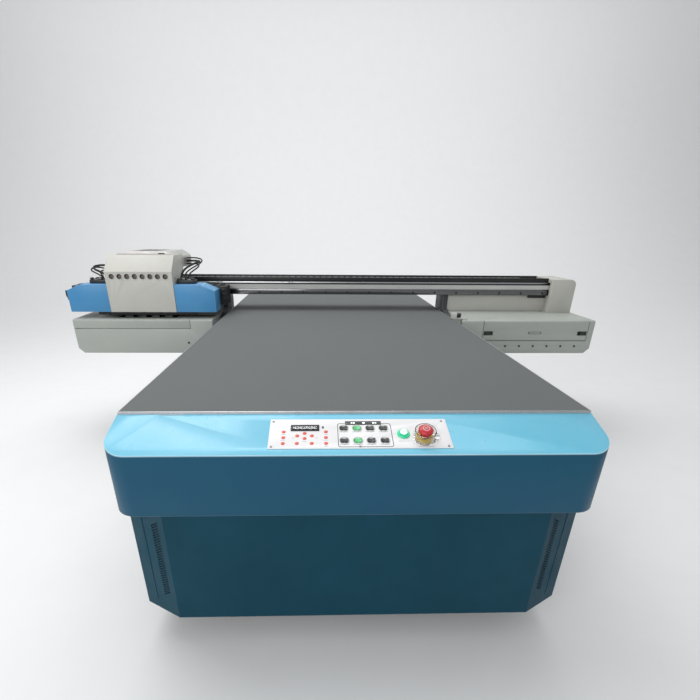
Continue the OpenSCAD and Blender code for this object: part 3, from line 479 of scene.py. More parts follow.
nozzle_gold = metal("nozzle_gold", (0.70, 0.50, 0.22), (0.2, 0.32), (400, 8, 400))
paper = plastic("paper", (0.80, 0.80, 0.80), (0.785, 0.785, 0.785), (0.7, 0.85), 900.0, 0.0001, dust=0.0)
lamp_quartz = plastic("lamp_quartz", (0.14, 0.10, 0.30), (0.18, 0.13, 0.36), (0.06, 0.12), glow=0.05)
sweep.data.materials.append(paper)
print("materials:", len(bpy.data.materials))

# %% [markdown]
# The working surface is a dense grey mat. It has a fine pressed grain, very faint clouds from the boards
# that have lain on it, and a few hair scratches along the table.

# %% The grey working surface
surface_mat, tree, shader, place = new_material("surface_mat")
skin = use(tree, powder, place, Grain=700.0)
clouds = noise(tree, place, 2.6, 6.0, 0.6)
scratches = use(tree, hairline, place, Stretch=(260, 1.4, 1))
tone = blend_colours(tree, spread(tree, clouds, 0.36, 0.64), (0.108, 0.118, 0.116), (0.121, 0.130, 0.128))
tone = blend_colours(tree, spread(tree, scratches.outputs["Height"], 0.66, 0.74, 0, 0.25), tone,
                     (0.17, 0.18, 0.176))
tree.links.new(tone, shader.inputs["Base Color"])
tree.links.new(spread(tree, clouds, 0.3, 0.7, 0.62, 0.8), shader.inputs["Roughness"])
shader.inputs["Specular IOR Level"].default_value = 0.35
relief(tree, shader, skin.outputs["Height"], 0.6, 0.0002)
print("material:", surface_mat.name)

# %% [markdown]
# ## Rounded copies of the CAD pieces
# A CAD piece is a heap of loose triangles. A copy of it is welded, its flat faces are joined into one face
# each, and a Bevel modifier then rounds every edge that is sharper than 30 degrees. The rounded strips take
# the second material of a painted pair, the lighter edge copy, which is partly scuffed paint and partly a
# painted highlight. The copy stands for the CAD piece, which stays for collision.

# %% Round the edges of a copy
rounded = {}


def round_off(node, finish, width):
    """Shows a rounded copy in place of a CAD piece. Finish is one material, or a paint and its lighter edge
    copy, which is partly scuffed paint and partly a painted highlight.
    """
    finish = finish if isinstance(finish, list) else [finish]
    piece = bpy.data.objects.new(node + "_rounded", nodes[node].data.copy())
    bpy.context.scene.collection.objects.link(piece)
    piece.data.materials.clear()
    for material in finish:
        piece.data.materials.append(material)
    only(piece)
    bpy.ops.mesh.customdata_custom_splitnormals_clear()
    bpy.ops.object.mode_set(mode="EDIT")
    bpy.ops.mesh.select_all(action="SELECT")
    bpy.ops.mesh.remove_doubles(threshold=0.00002)
    bpy.ops.mesh.dissolve_limited(angle_limit=math.radians(0.5), delimit=set())
    bpy.ops.object.mode_set(mode="OBJECT")
    bevel = piece.modifiers.new("edges", "BEVEL")
    bevel.width, bevel.segments, bevel.limit_method, bevel.angle_limit = width, 2, "ANGLE", math.radians(30)
    bevel.material = len(finish) - 1
    bevel.miter_outer = "MITER_ARC"
    bpy.ops.object.modifier_apply(modifier="edges")
    bpy.ops.object.shade_smooth_by_angle(angle=math.radians(32))
    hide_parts(node)
    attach(piece, body_of[node])
    rounded[node] = piece


def dress(node, finish):
    """Gives a CAD piece its finish and leaves its shape alone."""
    data = nodes[node].data
    data.materials.clear()
    data.materials.append(finish)


print("rounding helpers:", round_off.__name__, dress.__name__)

# %% The base
for node, finish, width in (
        ("console_apron", apron_blue, 0.0012), ("console_top", slope_blue, 0.0014),
        ("side_panels", pedestal_teal, 0.0012), ("base_beams", frame_grey, 0.004),
        ("base_legs", frame_grey, 0.004), ("vacuum_chamber", zinc, 0.0012),
        ("vacuum_blowers", cast_metal, 0.003), ("screw_bearings", frame_grey, 0.002),
        ("y_motors", soot_black, 0.003), ("electronics_cabinet", zinc, 0.0012),
        ("levelling_feet", zinc, 0.002), ("control_panel", panel_white, 0.0005)):
    round_off(node, finish, width)
for node, finish in (("table_surface", surface_mat), ("pedestal_front", pedestal_teal[0]),
                     ("rear_panel", pedestal_teal[0]), ("y_rails", long_steel), ("y_screw_left", long_steel),
                     ("y_screw_right", long_steel)):
    dress(node, finish)
print("rounded so far:", len(rounded))

# %% The gantry and the side boxes
for node, finish, width in (
        ("gantry_side_plates", frame_grey, 0.002), ("y_blocks", zinc, 0.0015),
        ("gantry_beam", beam_metal, 0.0015), ("x_rail", rail_steel, 0.0008),
        ("x_drive_mounts", soot_black, 0.0012), ("chain_tray", soot_black, 0.0008),
        ("left_box", box_grey, 0.0010), ("left_box_lid", box_grey, 0.0010), ("right_box", box_grey, 0.0010),
        ("right_tower", tower_grey, 0.0012), ("beam_back_covers", cover_grey, 0.0010),
        ("ink_tanks", tank_white, 0.005), ("ink_door", box_grey, 0.0008),
        ("latch_left", black_plastic, 0.0012), ("latch_right", black_plastic, 0.0012),
        ("cap_station", black_plastic, 0.0010), ("x_pulley_drive", zinc, 0.0008),
        ("x_pulley_idler", zinc, 0.0008)):
    round_off(node, finish, width)
dress("drive_belt", belt_grey)
print("rounded so far:", len(rounded))

# %% The carriage and the controls
for node, finish, width in (
        ("x_slider", zinc, 0.0015), ("carriage_frame", soot_black, 0.0012),
        ("carriage_cover", cover_grey, 0.0018), ("carriage_hood", cover_grey, 0.0018),
        ("lamp_covers", wing_blue, 0.0016), ("uv_lamps", soot_black, 0.002),
        ("print_heads", cast_metal, 0.0012), ("start_button", lens_green, 0.0012),
        ("estop_knob", knob_red, 0.0015)):
    round_off(node, finish, width)
for i in range(1, 9):
    round_off(f"rocker_{i}", rocker_green if i in (2, 6) else black_plastic, 0.0006)
dress("keypad", key_red)
print("rounded in all:", len(rounded), "triangles:", sum(len(p.data.polygons) for p in rounded.values()))

# %% [markdown]
# ## Tools for the fine pieces
# Most fine pieces are one of four things: a block with rounded edges, a round bar, a piece turned on a
# lathe, or a plate cut to an outline. Each starts as a primitive and is shaped in edit mode. Where a piece
# repeats, it is modelled once and copied, and every copy gets its own mesh.

# %% Blocks and bars
UP, RIGHT, FRONT = (0, 0, 1), (1, 0, 0), (0, -1, 0)


def slab(name, low, high, edge=0.8, steps=2):
    """A block between two corners in machine millimetres, with its edges bevelled."""
    a, b = at(*low), at(*high)
    bpy.ops.object.select_all(action="DESELECT")
    bpy.ops.mesh.primitive_cube_add(size=1, location=(a + b) / 2, scale=b - a)
    piece = settle(bpy.context.object)
    piece.name = name
    if edge:
        bpy.ops.object.mode_set(mode="EDIT")
        bpy.ops.mesh.select_all(action="SELECT")
        bpy.ops.mesh.bevel(offset=edge / 1000, segments=steps, affect="EDGES")
        bpy.ops.object.mode_set(mode="OBJECT")
    return piece


def bevel_sharp(piece, edge, steps=2):
    """Bevels every edge that turns by more than 30 degrees."""
    edit(piece, "EDGE")
    bpy.ops.object.mode_set(mode="EDIT")
    bpy.ops.mesh.edges_select_sharp(sharpness=math.radians(30))
    bpy.ops.mesh.bevel(offset=edge / 1000, segments=steps, affect="EDGES")
    bpy.ops.object.mode_set(mode="OBJECT")
    return piece


def rod(name, start, end, radius, sides=32, edge=0.5):
    """A round bar between two points, with its rims bevelled."""
    a, b = at(*start), at(*end)
    bpy.ops.object.select_all(action="DESELECT")
    bpy.ops.mesh.primitive_cylinder_add(vertices=sides, radius=radius / 1000, depth=(b - a).length,
                                        location=(a + b) / 2,
                                        rotation=(b - a).to_track_quat("Z", "Y").to_euler())
    piece = settle(bpy.context.object)
    piece.name = name
    return bevel_sharp(piece, edge) if edge and sides > 12 else piece


def dish(piece, towards, rim, depth):
    """Insets the face that looks one way and pushes it in, which leaves a rim around a recess."""
    mesh = edit(piece, "FACE")
    for face in mesh.polygons:
        face.select = face.normal.dot(Vector(towards)) > 0.95
    bpy.ops.object.mode_set(mode="EDIT")
    bpy.ops.mesh.inset(thickness=rim / 1000)
    bpy.ops.mesh.extrude_region_move(TRANSFORM_OT_translate={"value": Vector(towards) * -depth / 1000})
    bpy.ops.object.mode_set(mode="OBJECT")
    return piece


print("block and bar tools:", slab.__name__, bevel_sharp.__name__, rod.__name__, dish.__name__)


# %% Turned pieces and cut plates
def turned(name, foot, axis, outline, sides=40):
    """A lathe piece: a closed outline of (radius, height) points, spun about an axis that starts at foot."""
    bpy.ops.object.select_all(action="DESELECT")
    bpy.ops.mesh.primitive_circle_add(vertices=len(outline), fill_type="NOTHING")
    piece = bpy.context.object
    piece.name = name
    tip = Vector(axis).to_track_quat("Z", "Y")
    for point, (radius, height) in zip(piece.data.vertices, outline):
        point.co = at(*foot) + tip @ Vector((radius, 0, height)) / 1000
    bpy.ops.object.mode_set(mode="EDIT")
    bpy.ops.mesh.select_all(action="SELECT")
    bpy.ops.mesh.spin(steps=sides, angle=2 * math.pi, center=at(*foot), axis=Vector(axis))
    bpy.ops.mesh.select_all(action="SELECT")
    bpy.ops.mesh.remove_doubles(threshold=0.00001)
    bpy.ops.mesh.delete_loose(use_verts=True, use_edges=True, use_faces=False)
    bpy.ops.mesh.select_all(action="SELECT")
    bpy.ops.mesh.normals_make_consistent(inside=False)
    bpy.ops.object.mode_set(mode="OBJECT")
    return piece


def cut_plate(name, points, push, edge=0.6, steps=2):
    """A plate cut to an outline of points and pushed out to its thickness, with bevelled edges."""
    bpy.ops.object.select_all(action="DESELECT")
    bpy.ops.mesh.primitive_circle_add(vertices=len(points), fill_type="NGON")
    piece = bpy.context.object
    piece.name = name
    for point, place in zip(piece.data.vertices, points):
        point.co = at(*place)
    bpy.ops.object.mode_set(mode="EDIT")
    bpy.ops.mesh.select_all(action="SELECT")
    bpy.ops.mesh.extrude_region_move(TRANSFORM_OT_translate={"value": Vector(push) / 1000})
    bpy.ops.mesh.select_all(action="SELECT")
    bpy.ops.mesh.normals_make_consistent(inside=False)
    bpy.ops.object.mode_set(mode="OBJECT")
    return bevel_sharp(piece, edge, steps) if edge else piece


def smooth_line(name, points, radius, sides=6):
    """A smooth curve through points, with a round section."""
    curve = bpy.data.curves.new(name, "CURVE")
    curve.dimensions, curve.bevel_depth, curve.bevel_resolution = "3D", radius / 1000, sides // 2
    curve.use_fill_caps, curve.resolution_u = True, 6
    line = curve.splines.new("BEZIER")
    line.bezier_points.add(len(points) - 1)
    for knot, place in zip(line.bezier_points, points):
        knot.co, knot.handle_left_type, knot.handle_right_type = at(*place), "AUTO", "AUTO"
    piece = bpy.data.objects.new(name, curve)
    bpy.context.scene.collection.objects.link(piece)
    return piece


def tube(name, points, radius, sides=6):
    """A clipped-down cable: a smooth line turned into a mesh."""
    only(smooth_line(name, points, radius, sides))
    bpy.ops.object.convert(target="MESH")
    return bpy.context.object


print("outline and line tools:", turned.__name__, cut_plate.__name__, smooth_line.__name__, tube.__name__)


# %% Copies, and fitting a piece to its body
def join(pieces, name):
    """Joins several pieces into one."""
    bpy.ops.object.select_all(action="DESELECT")
    for piece in pieces:
        piece.select_set(True)
    bpy.context.view_layer.objects.active = pieces[0]
    bpy.ops.object.join()
    pieces[0].name = name
    return pieces[0]


def twin(piece, change):
    """A copy with its own mesh, changed by a matrix. A mirrored copy is turned right side out."""
    other = piece.copy()
    other.data = piece.data.copy()
    bpy.context.scene.collection.objects.link(other)
    other.data.transform(change)
    if change.determinant() < 0:
        other.data.flip_normals()
    return other


def copies(piece, moves):
    """The piece together with a copy at each of these moves, in millimetres."""
    return join([piece] + [twin(piece, Matrix.Translation(Vector(m) / 1000)) for m in moves], piece.name)


def about(x):
    """The matrix that mirrors across the plane at this X, in machine millimetres."""
    middle = at(x, 0, 0)
    return Matrix.Translation(middle) @ Matrix.Scale(-1, 4, (1, 0, 0)) @ Matrix.Translation(-middle)


def both_sides(piece, x=0):
    """The piece together with its mirror image across the plane at this X."""
    return join([piece, twin(piece, about(x))], piece.name)


fitted = []


def fit(piece, body, finish, slot, *stands_for, smooth=35):
    """Gives a piece its finish and the body it rides on. Its slot is not used."""
    piece.data.materials.clear()
    for material in finish if isinstance(finish, list) else [finish]:
        piece.data.materials.append(material)
    only(piece)
    bpy.ops.object.shade_smooth_by_angle(angle=math.radians(smooth))
    if stands_for:
        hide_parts(*stands_for)
    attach(piece, body)
    fitted.append(piece)


print("copy and fit tools:", join.__name__, twin.__name__, copies.__name__, both_sides.__name__, fit.__name__)

# %% [markdown]
# ## Table
# The bed is a thick light metal plate with a shallow tray for the mat, so that only a thin bright rim shows
# around the grey. It starts as a block. Its top face is inset by the rim and pushed down, and then all edges
# get a small bevel.

# %% Table bed with its rim
bed_lo, bed_hi = ((p - START) * 1000 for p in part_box("table_bed"))
RIM_WIDTH, TRAY_DEPTH = 3, 4.1
bed = dish(slab("bed_plate", bed_lo, bed_hi, edge=0), UP, RIM_WIDTH, TRAY_DEPTH)
fit(bevel_sharp(bed, 0.8), "base", bed_metal, "bed_aluminium", "table_bed")
slots = [slab("slot", (bed_hi.x - 0.2, 12, z), (bed_hi.x + 0.5, bed_hi.y - 12, z + 7), 0.2) for z in (718,
                                                                                                      737)]
fit(both_sides(join(slots, "bed_side_slots")), "base", black_plastic, "black_plastic")
bolt = rod("bed_bolts", (bed_hi.x, 90, 729), (bed_hi.x + 1.2, 90, 729), 5.5, 6, 0)
fit(both_sides(copies(bolt, [(0, 220 * i, 0) for i in range(1, 12)])), "base", screw_metal, "zinc_steel")
print("table pieces:", len(fitted))

# %% [markdown]
# ## Console and controls
# The controls lie on the slope. They are modelled flat, as if the panel lay on the floor, and one matrix then
# tips them onto the slope. On the flat panel X runs across, Y is the way down the slope with a minus sign,
# and Z stands out of the panel, whose face is at 2 mm.

# %% Tip a flat piece onto the slope
SLOPE_RISE, SLOPE_RUN, SLOPE_TOP = 51, 153, 748
tilt = Matrix.Rotation(math.atan2(SLOPE_RISE, SLOPE_RUN), 4, "X")
SLOPE = Matrix.Translation(at(0, 0, SLOPE_TOP)) @ tilt @ Matrix.Translation(-START)
PANEL_FACE = 2


def on_slope(piece, finish, slot, *stands_for, body="base"):
    """Tips a piece onto the slope, then fits it."""
    piece.data.transform(SLOPE)
    fit(piece, body, finish, slot, *stands_for)


print("slope:", round(math.degrees(math.atan2(SLOPE_RISE, SLOPE_RUN)), 1), "degrees")

# %% Panel screws and small lamp
screw = turned("panel_screws", (-237, -36, 0), UP,
               [(0, 2), (3.3, 2), (3.3, 2.8), (2.5, 3.9), (1.4, 4.1), (1.4, 3.1), (0, 3.1)], 20)
moves = [(469, 0, 0), (0, -97, 0), (470.5, -97, 0), (235, -97, 0)]
on_slope(copies(screw, moves), screw_metal, "zinc_steel")
on_slope(slab("panel_lamp", (-102.5, -64, 1.9), (-97.5, -56, 3.2), 1.0, 3), display_black, "display_black")
print("screws on the panel:", len(moves) + 1)

# %% [markdown]
# Printed marks are thin raised films of ink: the rounded frame around the eight switches, its black header
# and short grey bars in the place of the captions. No words are drawn. The frame is a plane whose corners
# are rounded, inset by the width of the line; the middle is deleted and the rest is given a thickness.

# %% Printed frame
bpy.ops.object.select_all(action="DESELECT")
bpy.ops.mesh.primitive_plane_add(size=1, location=at(14, -89.5, 2.02))
bpy.context.object.scale = (0.148, 0.091, 1)
outline = settle(bpy.context.object)
outline.name = "switch_frame"
bpy.ops.object.mode_set(mode="EDIT")
bpy.ops.mesh.select_all(action="SELECT")
bpy.ops.mesh.bevel(offset=0.007, segments=6, affect="VERTICES")
bpy.ops.mesh.inset(thickness=0.0016)
bpy.ops.mesh.delete(type="FACE")
bpy.ops.mesh.select_all(action="SELECT")
bpy.ops.mesh.extrude_region_move(TRANSFORM_OT_translate={"value": (0, 0, 0.0003)})
bpy.ops.mesh.select_all(action="SELECT")
bpy.ops.mesh.normals_make_consistent(inside=False)
bpy.ops.object.mode_set(mode="OBJECT")
on_slope(outline, display_black, "display_black")
on_slope(slab("frame_header", (-38, -50, 1.9), (62, -35, 2.7), 0.3), display_black, "display_black")
MARKS = ((-22, 3), (-17, 6), (10, 7), (38, 6), (46, 3))
marks = [slab("mark", (left, -45, 2.6), (left + width, -40, 2.9), 0.1) for left, width in MARKS]
# These printed marks glow like the start lens, though they are no lamp: painted light.
on_slope(join(marks, "header_marks"), glowing_white, "panel_white")
print("marks in the header:", len(marks))


# %% Caption bars
def caption(left, right, down):
    """One grey bar, a thin film on the panel, this far down the slope."""
    return slab("bar", (left, -down - 1.3, PANEL_FACE - 0.02), (right, -down, PANEL_FACE + 0.14), 0)


SWITCH_X, SWITCH_CAPTIONS = (-43, -6.5, 29.5, 66), (77, 125)
bars = [caption(x + left, x + right, down) for x in SWITCH_X for down in SWITCH_CAPTIONS
        for left, right in ((-14, -4), (-2, 5), (7, 12))]
for x, down, width in ((-206.5, 86, 12), (-206.5, 108, 12), (-180, 100, 9), (-149.5, 113, 10), (-118, 100, 9),
                       (-92, 86, 12), (-92, 108, 12), (-92, 130, 12), (119, 113, 34), (174, 134, 44)):
    bars.append(caption(x - width / 2, x + width / 2, down))
on_slope(join(bars, "caption_bars"), print_grey, "panel_white")
print("caption bars:", len(bars))

# %% [markdown]
# The display is a black bezel with a sunk window. Its lit cells are little blocks of uneven height, which
# read as characters from afar and spell nothing.

# %% Display
bezel = dish(slab("display_bezel", (-188, -74, PANEL_FACE), (-110, -51, 4.6), 1.0, 3), UP, 4.5, 0.9)
on_slope(bezel, display_black, "display_black", "lcd_display")
cells = []
for i in range(15):
    left = -180.5 + i * 4.3
    for j in range(4):
        low = -68 + j * 2.9
        if (i * 7 + j * 5 + i * j) % 4:
            cells.append(slab("cell", (left, low, 3.6), (left + 1.4 + (i + j) % 3, low + 1.8, 3.9), 0))
on_slope(join(cells, "display_cells"), display_glow, "display_black")
print("display cells:", len(cells))

# %% [markdown]
# Each rocker sits in a low round bezel. The start button has a green collar, and its lit lens rides on the
# button. The emergency stop has a yellow collar and a clear guard ring, both turned, with a hinge lug.

# %% Switch bezels, start button and emergency stop
START_BUTTON, STOP_BUTTON = (119, -87, 0), (174, -100, 0)
bezels = turned("switch_bezels", (SWITCH_X[0], -64, 0), UP,
                [(11.9, 2), (13.9, 2), (13.7, 3.2), (12.8, 3.9), (11.9, 3.5)], 32)
steps = [(x - SWITCH_X[0], y, 0) for x in SWITCH_X for y in (0, -47.5)]
copies(bezels, steps[1:])
on_slope(bezels, tank_white, "panel_white")
collar = turned("start_collar", START_BUTTON, UP, [(12.7, 2), (17.5, 2), (17.2, 4.5), (15.8, 6), (12.7, 6)])
on_slope(collar, lens_green, "button_green")
lens_cap = turned("start_lens", START_BUTTON, UP,
                  [(0, 10.3), (9.6, 10.3), (9.2, 11.6), (7, 12.9), (3.5, 13.6), (0, 13.8)], 32)
on_slope(lens_cap, glowing_white, "button_green", body="start_button")
collar = turned("stop_collar", STOP_BUTTON, UP, [(11.3, 2), (22.5, 2), (22.5, 5.4), (21, 7), (11.3, 7)], 48)
on_slope(collar, collar_yellow, "guard_clear")
guard = turned("stop_guard", STOP_BUTTON, UP,
               [(26.6, 2), (31, 2), (31, 3.6), (29, 4.4), (29, 27), (28, 28.2), (26.6, 27.4)], 56)
lug = slab("lug", (201, -106, PANEL_FACE), (213, -94, 12), 1.5, 3)
on_slope(join([guard, lug], "stop_guard"), guard_clear, "guard_clear", "estop_guard")
bpy.ops.object.select_all(action="DESELECT")
bpy.ops.mesh.primitive_torus_add(major_radius=0.009, minor_radius=0.0009, major_segments=32, minor_segments=8,
                                 location=at(*STOP_BUTTON[:2], 36.6))
ring = [settle(bpy.context.object), slab("bar", (169, -101, 36.2), (179, -99, 37.4), 0.3)]
on_slope(join(ring, "stop_ring"), knob_line, "button_red", body="estop_knob")
print("pieces on the console:", len(fitted))

# %% [markdown]
# ## Base
# The vents of the pedestal look black because a black sheet stands close behind them, painted shade for
# the dark inside of the pedestal. The long sides have three doors each, thin pressed sheets with quarter-turn
# locks, and the middle one is louvred. The feet get lock nuts, the blowers get ribs, and the back panel gets
# the sunk frame and the pins of its power inlet.

# %% Painted shade behind the vents
corner = Vector((667.5, -75, 0))  # where the right chamfer of the pedestal meets the side panel
chamfer = Vector((-119, -67, 0)).normalized()
inward = Vector((chamfer.y, -chamfer.x, 0))


def chamfer_strip(name, start, end, low, high, sink, thick, edge):
    """An upright strip along the chamfered corner, sunk behind its sheet, between two heights."""
    near, far = (corner + chamfer * along + inward * sink for along in (start, end))
    points = [(near.x, near.y, low), (far.x, far.y, low), (far.x, far.y, high), (near.x, near.y, high)]
    return cut_plate(name, points, inward * thick, edge)


shade_sheets = both_sides(chamfer_strip("vent_shade_sheets", 70, 125, 175, 480, 5.5, 1.5, 0.3))
fit(shade_sheets, "base", black_rubber, "black_plastic")
print("vent liners: 2")

# %% Pressed ridges beside the vents, and a painted shadow under the apron
ridges = both_sides(chamfer_strip("vent_ridges", 46, 50, 150, 500, 0, -1.2, 0.5))
fit(ridges, "base", pedestal_teal[0], "teal_paint")
# A thin black slab just under the front of the apron is a painted shadow line.
shadow = slab("apron_painted_shadow", (-600, -139, 506.2), (600, -100, 507.6), 0)
fit(shadow, "base", black_rubber, "blue_paint")
print("pressed ridges: 2")

# %% Side doors and locks
DOORS = ((120, 940), (990, 1810), (1860, 2700))
doors = [slab("door", (667.2, start, 150), (669.3, end, 448), 1.4, 3) for start, end in DOORS]
fit(both_sides(join(doors, "side_doors")), "base", pedestal_teal, "teal_paint")
lock = turned("door_locks", (669, 165, 410), RIGHT,
              [(0, 0), (11, 0), (10.6, 1.6), (6, 2.4), (6, 1.4), (0, 1.4)], 28)
places = [(y, z) for y in (165, 895, 1035, 1765, 1905, 2655) for z in (188, 410)]
moves = [(0, y - 165, z - 410) for y, z in places if (y, z) != (165, 410)]
fit(both_sides(copies(lock, moves)), "base", screw_metal, "zinc_steel")
louvre = cut_plate("door_louvres", [(669, 1200, 230), (672, 1200, 226), (672, 1200, 223), (669, 1200, 221)],
                   (0, 400, 0), 0.4)
fit(both_sides(copies(louvre, [(0, 0, 18 * i) for i in range(1, 10)])), "base", pedestal_teal, "teal_paint")
print("door locks on each side:", len(places))

# %% Feet, inlet and blower fins
nut = rod("foot_nuts", (540, 100, 62), (540, 100, 76), 19, 6, 0)
bevel_sharp(nut, 1.2)
copies(nut, [(0, 0, 22)])
copies(nut, [(0, 1320, 0), (0, 2640, 0)])
fit(both_sides(nut), "base", screw_metal, "zinc_steel")
inlet = dish(slab("power_inlet", (-34, 2839.8, 176), (34, 2844, 224), 2.0, 3), (0, 1, 0), 7, 3)
fit(inlet, "base", black_plastic, "black_plastic")
pins = slab("inlet_pins", (-16, 2840.5, 197), (-12, 2843.6, 205), 0.4)
fit(copies(pins, [(14, 0, 5), (28, 0, 0)]), "base", screw_metal, "zinc_steel")
fins = turned("blower_fins", (0, 1165, 415), (0, 1, 0), [(79, 0), (88, 0), (88, 3), (79, 3)], 40)
copies(fins, [(0, 12 * i, 0) for i in range(1, 12)])
fit(copies(fins, [(0, 900, 0)]), "base", cast_metal, "head_metal")
print("pieces so far:", len(fitted))

# %% [markdown]
# The ball screws have a rolled thread. The Screw modifier carries a small triangle around the shaft 130
# times, and 20 mm along it with each turn.

# %% Ball screw threads
LEAD, TURNS, SHAFT_HEIGHT = 0.020, 130, 565
for name, x in (("y_screw_left", -646), ("y_screw_right", 646)):
    bpy.ops.object.select_all(action="DESELECT")
    bpy.ops.mesh.primitive_circle_add(vertices=3, fill_type="NOTHING")
    thread = bpy.context.object
    thread.name = name + "_thread"
    for point, (radius, along) in zip(thread.data.vertices, ((12.3, -6), (13.2, 0), (12.3, 6))):
        point.co = (radius / 1000, 0, along / 1000)
    turns = thread.modifiers.new("thread", "SCREW")
    turns.axis, turns.screw_offset, turns.iterations, turns.steps, turns.render_steps = "Z", LEAD, TURNS, 20, 20
    turns.use_smooth_shade = True
    only(thread)
    bpy.ops.object.modifier_apply(modifier="thread")
    thread.rotation_euler = (math.radians(-90), 0, 0)
    thread.location = at(x, 140, SHAFT_HEIGHT)
    settle(thread)
    fit(thread, name, long_steel, "rail_steel", smooth=50)
print("threads:", len(thread.data.polygons), "faces each")

# %% [markdown]
# ## Gantry
# The beam is an extrusion. Its two front grooves are thin black strips here, painted shade that stands for
# their depth.
# The rail has a row of sunk fixing screws, and the beam has bright fixing pairs along its top. A toothed
# belt runs in front of it.

# %% Groove shade, rail screws, fixing pairs and belt teeth
grooves = [slab("groove", (-1368, 1709.2, z), (1368, 1710.4, z + h), 0.2) for z, h in ((889, 5), (914, 7))]
fit(join(grooves, "beam_groove_shade"), "gantry", black_plastic, "bed_aluminium")
RAIL_SCREWS, BELT_TEETH = 20, 276
hole = turned("rail_screws", (-1330, 1690, 866), FRONT,
              [(0, 0.1), (6.4, 0.1), (6.4, 0.9), (5.2, 1.3), (4.6, 0.5), (0, 0.5)], 16)
fit(copies(hole, [(140 * i, 0, 0) for i in range(1, RAIL_SCREWS)]), "gantry", soot_black[0], "rail_steel")
pair = slab("beam_pairs", (-1210, 1693, 927.6), (-1198, 1707, 929.4), 0.6)
copies(pair, [(22, 0, 0)])
fit(copies(pair, [(450 * i, 0, 0) for i in range(1, 6)]), "gantry", bed_metal, "bed_aluminium")
tooth = slab("belt_teeth", (-1385, 1699.9, 888.5), (-1380, 1701.6, 910.5), 0)
fit(copies(tooth, [(10 * i, 0, 0) for i in range(1, BELT_TEETH)]), "gantry", belt_grey, "belt_white")
print("rail screws:", RAIL_SCREWS, "belt teeth:", BELT_TEETH)

# %% [markdown]
# The drag chain is a row of links in the tray. One link is a rounded block with a bar across it, and each
# copy steps 40 mm along. Flexible cables lie beside it.

# %% Drag chain links and cables
chain_lo, chain_hi = ((p - START) * 1000 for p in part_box("drag_chain"))
LINK_PITCH, LINK_LENGTH = 40, 34
left, front, low = chain_lo
back, high = chain_hi.yz
link = slab("chain_links", (left, front, low + 1), (left + LINK_LENGTH, back, high - 1), 3, 3)
bar = slab("bar", (left + 12, front + 3, high - 2), (left + 22, back - 3, high), 0.8)
link = join([link, bar], "chain_links")
link_count = int((chain_hi.x - left - LINK_LENGTH - 2) // LINK_PITCH) + 1
copies(link, [(LINK_PITCH * i, 0, 0) for i in range(1, link_count)])
fit(link, "gantry", black_plastic, "black_plastic", "drag_chain")
for i, y in enumerate((1728, 1736, 1743)):
    wave = [(x, y + 3 * math.sin(x / 170 + i), 937 + i) for x in range(-1340, 1341, 134)]
    fit(tube(f"tray_cable_{i + 1}", wave, 3.2), "gantry", black_rubber, "hose_black")
print("chain links:", link_count)

# %% [markdown]
# ## Side boxes
# Seams between sheets are drawn as thin dark strips in the gaps. The ink door has black latch frames, a
# blank raised badge and a row of socket screws under it. Behind the door are the filler caps and ink tubes.

# %% Seams of the boxes
SEAMS = {
    "lid_seams": (((-1522, 1374.5, 697.9), (-858, 1375.3, 699.3)),
                  ((-859, 1374.5, 699), (-857.4, 1375.3, 747))),
    "door_seams": (((859.8, 1374.5, 632), (861.2, 1375.3, 747)),
                   ((1490.8, 1374.6, 632), (1491.9, 1375.3, 747)),
                   ((860, 1374.4, 630.6), (1491, 1375.3, 632.4))),
}
for name, strips in SEAMS.items():
    seams = [slab("seam", low, high, 0) for low, high in strips]
    fit(join(seams, name), "gantry", soot_black[0], "box_grey")
    print(name, len(seams))
fit(rod("box_hole", (-878.5, 1374.4, 616), (-878.5, 1375.6, 616), 6.5, 24, 0.2), "gantry", black_rubber,
    "box_grey")

# %% Latch frames, badge and socket screws
frames = []
for x in (866, 1431):
    frames += [slab("side", (x, 1374.2, z), (x + 55, 1376, z + 2), 0.3) for z in (663, 685)]
    frames += [slab("side", (x + dx, 1374.2, 663), (x + dx + 2, 1376, 687), 0.3) for dx in (0, 53)]
    frames.append(slab("floor", (x + 1, 1384.4, 664), (x + 54, 1385.4, 686), 0))
fit(join(frames, "latch_frames"), "ink_door", black_plastic, "black_plastic")
badge = dish(slab("door_badge", (1134, 1372.6, 672), (1210, 1375.2, 684), 2.2, 3), FRONT, 1.4, 0.6)
fit(badge, "ink_door", soot_black[1], "zinc_steel")
fit(slab("badge_plate", (1138, 1372.8, 674.5), (1206, 1373.6, 681.5), 0.3), "ink_door", tower_grey[0],
    "zinc_steel")
socket = turned("socket_screws", (1008, 1375, 598), FRONT,
                [(0, 0.1), (3, 0.1), (3, 0.9), (6.2, 0.9), (6.6, 0.1), (6.6, -1), (0, -1)], 20)
fit(copies(socket, [(84.4 * i, 0, 0) for i in range(1, 6)]), "gantry", soot_black[0], "black_paint")
print("latch frame strips:", len(frames))

# %% Filler caps, ink tubes and plate bolts
INKS = ((0.02, 0.30, 0.55), (0.55, 0.03, 0.22), (0.75, 0.60, 0.03), (0.02, 0.02, 0.02),
        (0.05, 0.40, 0.62), (0.62, 0.12, 0.32), (0.80, 0.80, 0.78), (0.62, 0.64, 0.62))
TANKS_LEFT, TANK_PITCH = 871, 610 / len(INKS)
for i, tint in enumerate(INKS):
    x = TANKS_LEFT + (i + 0.5) * TANK_PITCH
    cap = turned(f"filler_cap_{i + 1}", (x, 1475, 690), UP,
                 [(0, 13), (15, 13), (18.6, 10), (19, 0), (17.8, 0), (17.8, 9), (0, 9)], 24)
    fit(cap, "gantry", plastic(f"cap_{i + 1}", tint), "black_plastic")
    route = [(x, y, z) for y, z in ((1475, 703), (1480, 722), (1540, 728), (1640, 720), (1700, 690))]
    fit(tube(f"ink_tube_{i + 1}", route, 3), "gantry", tank_white, "tank_white")
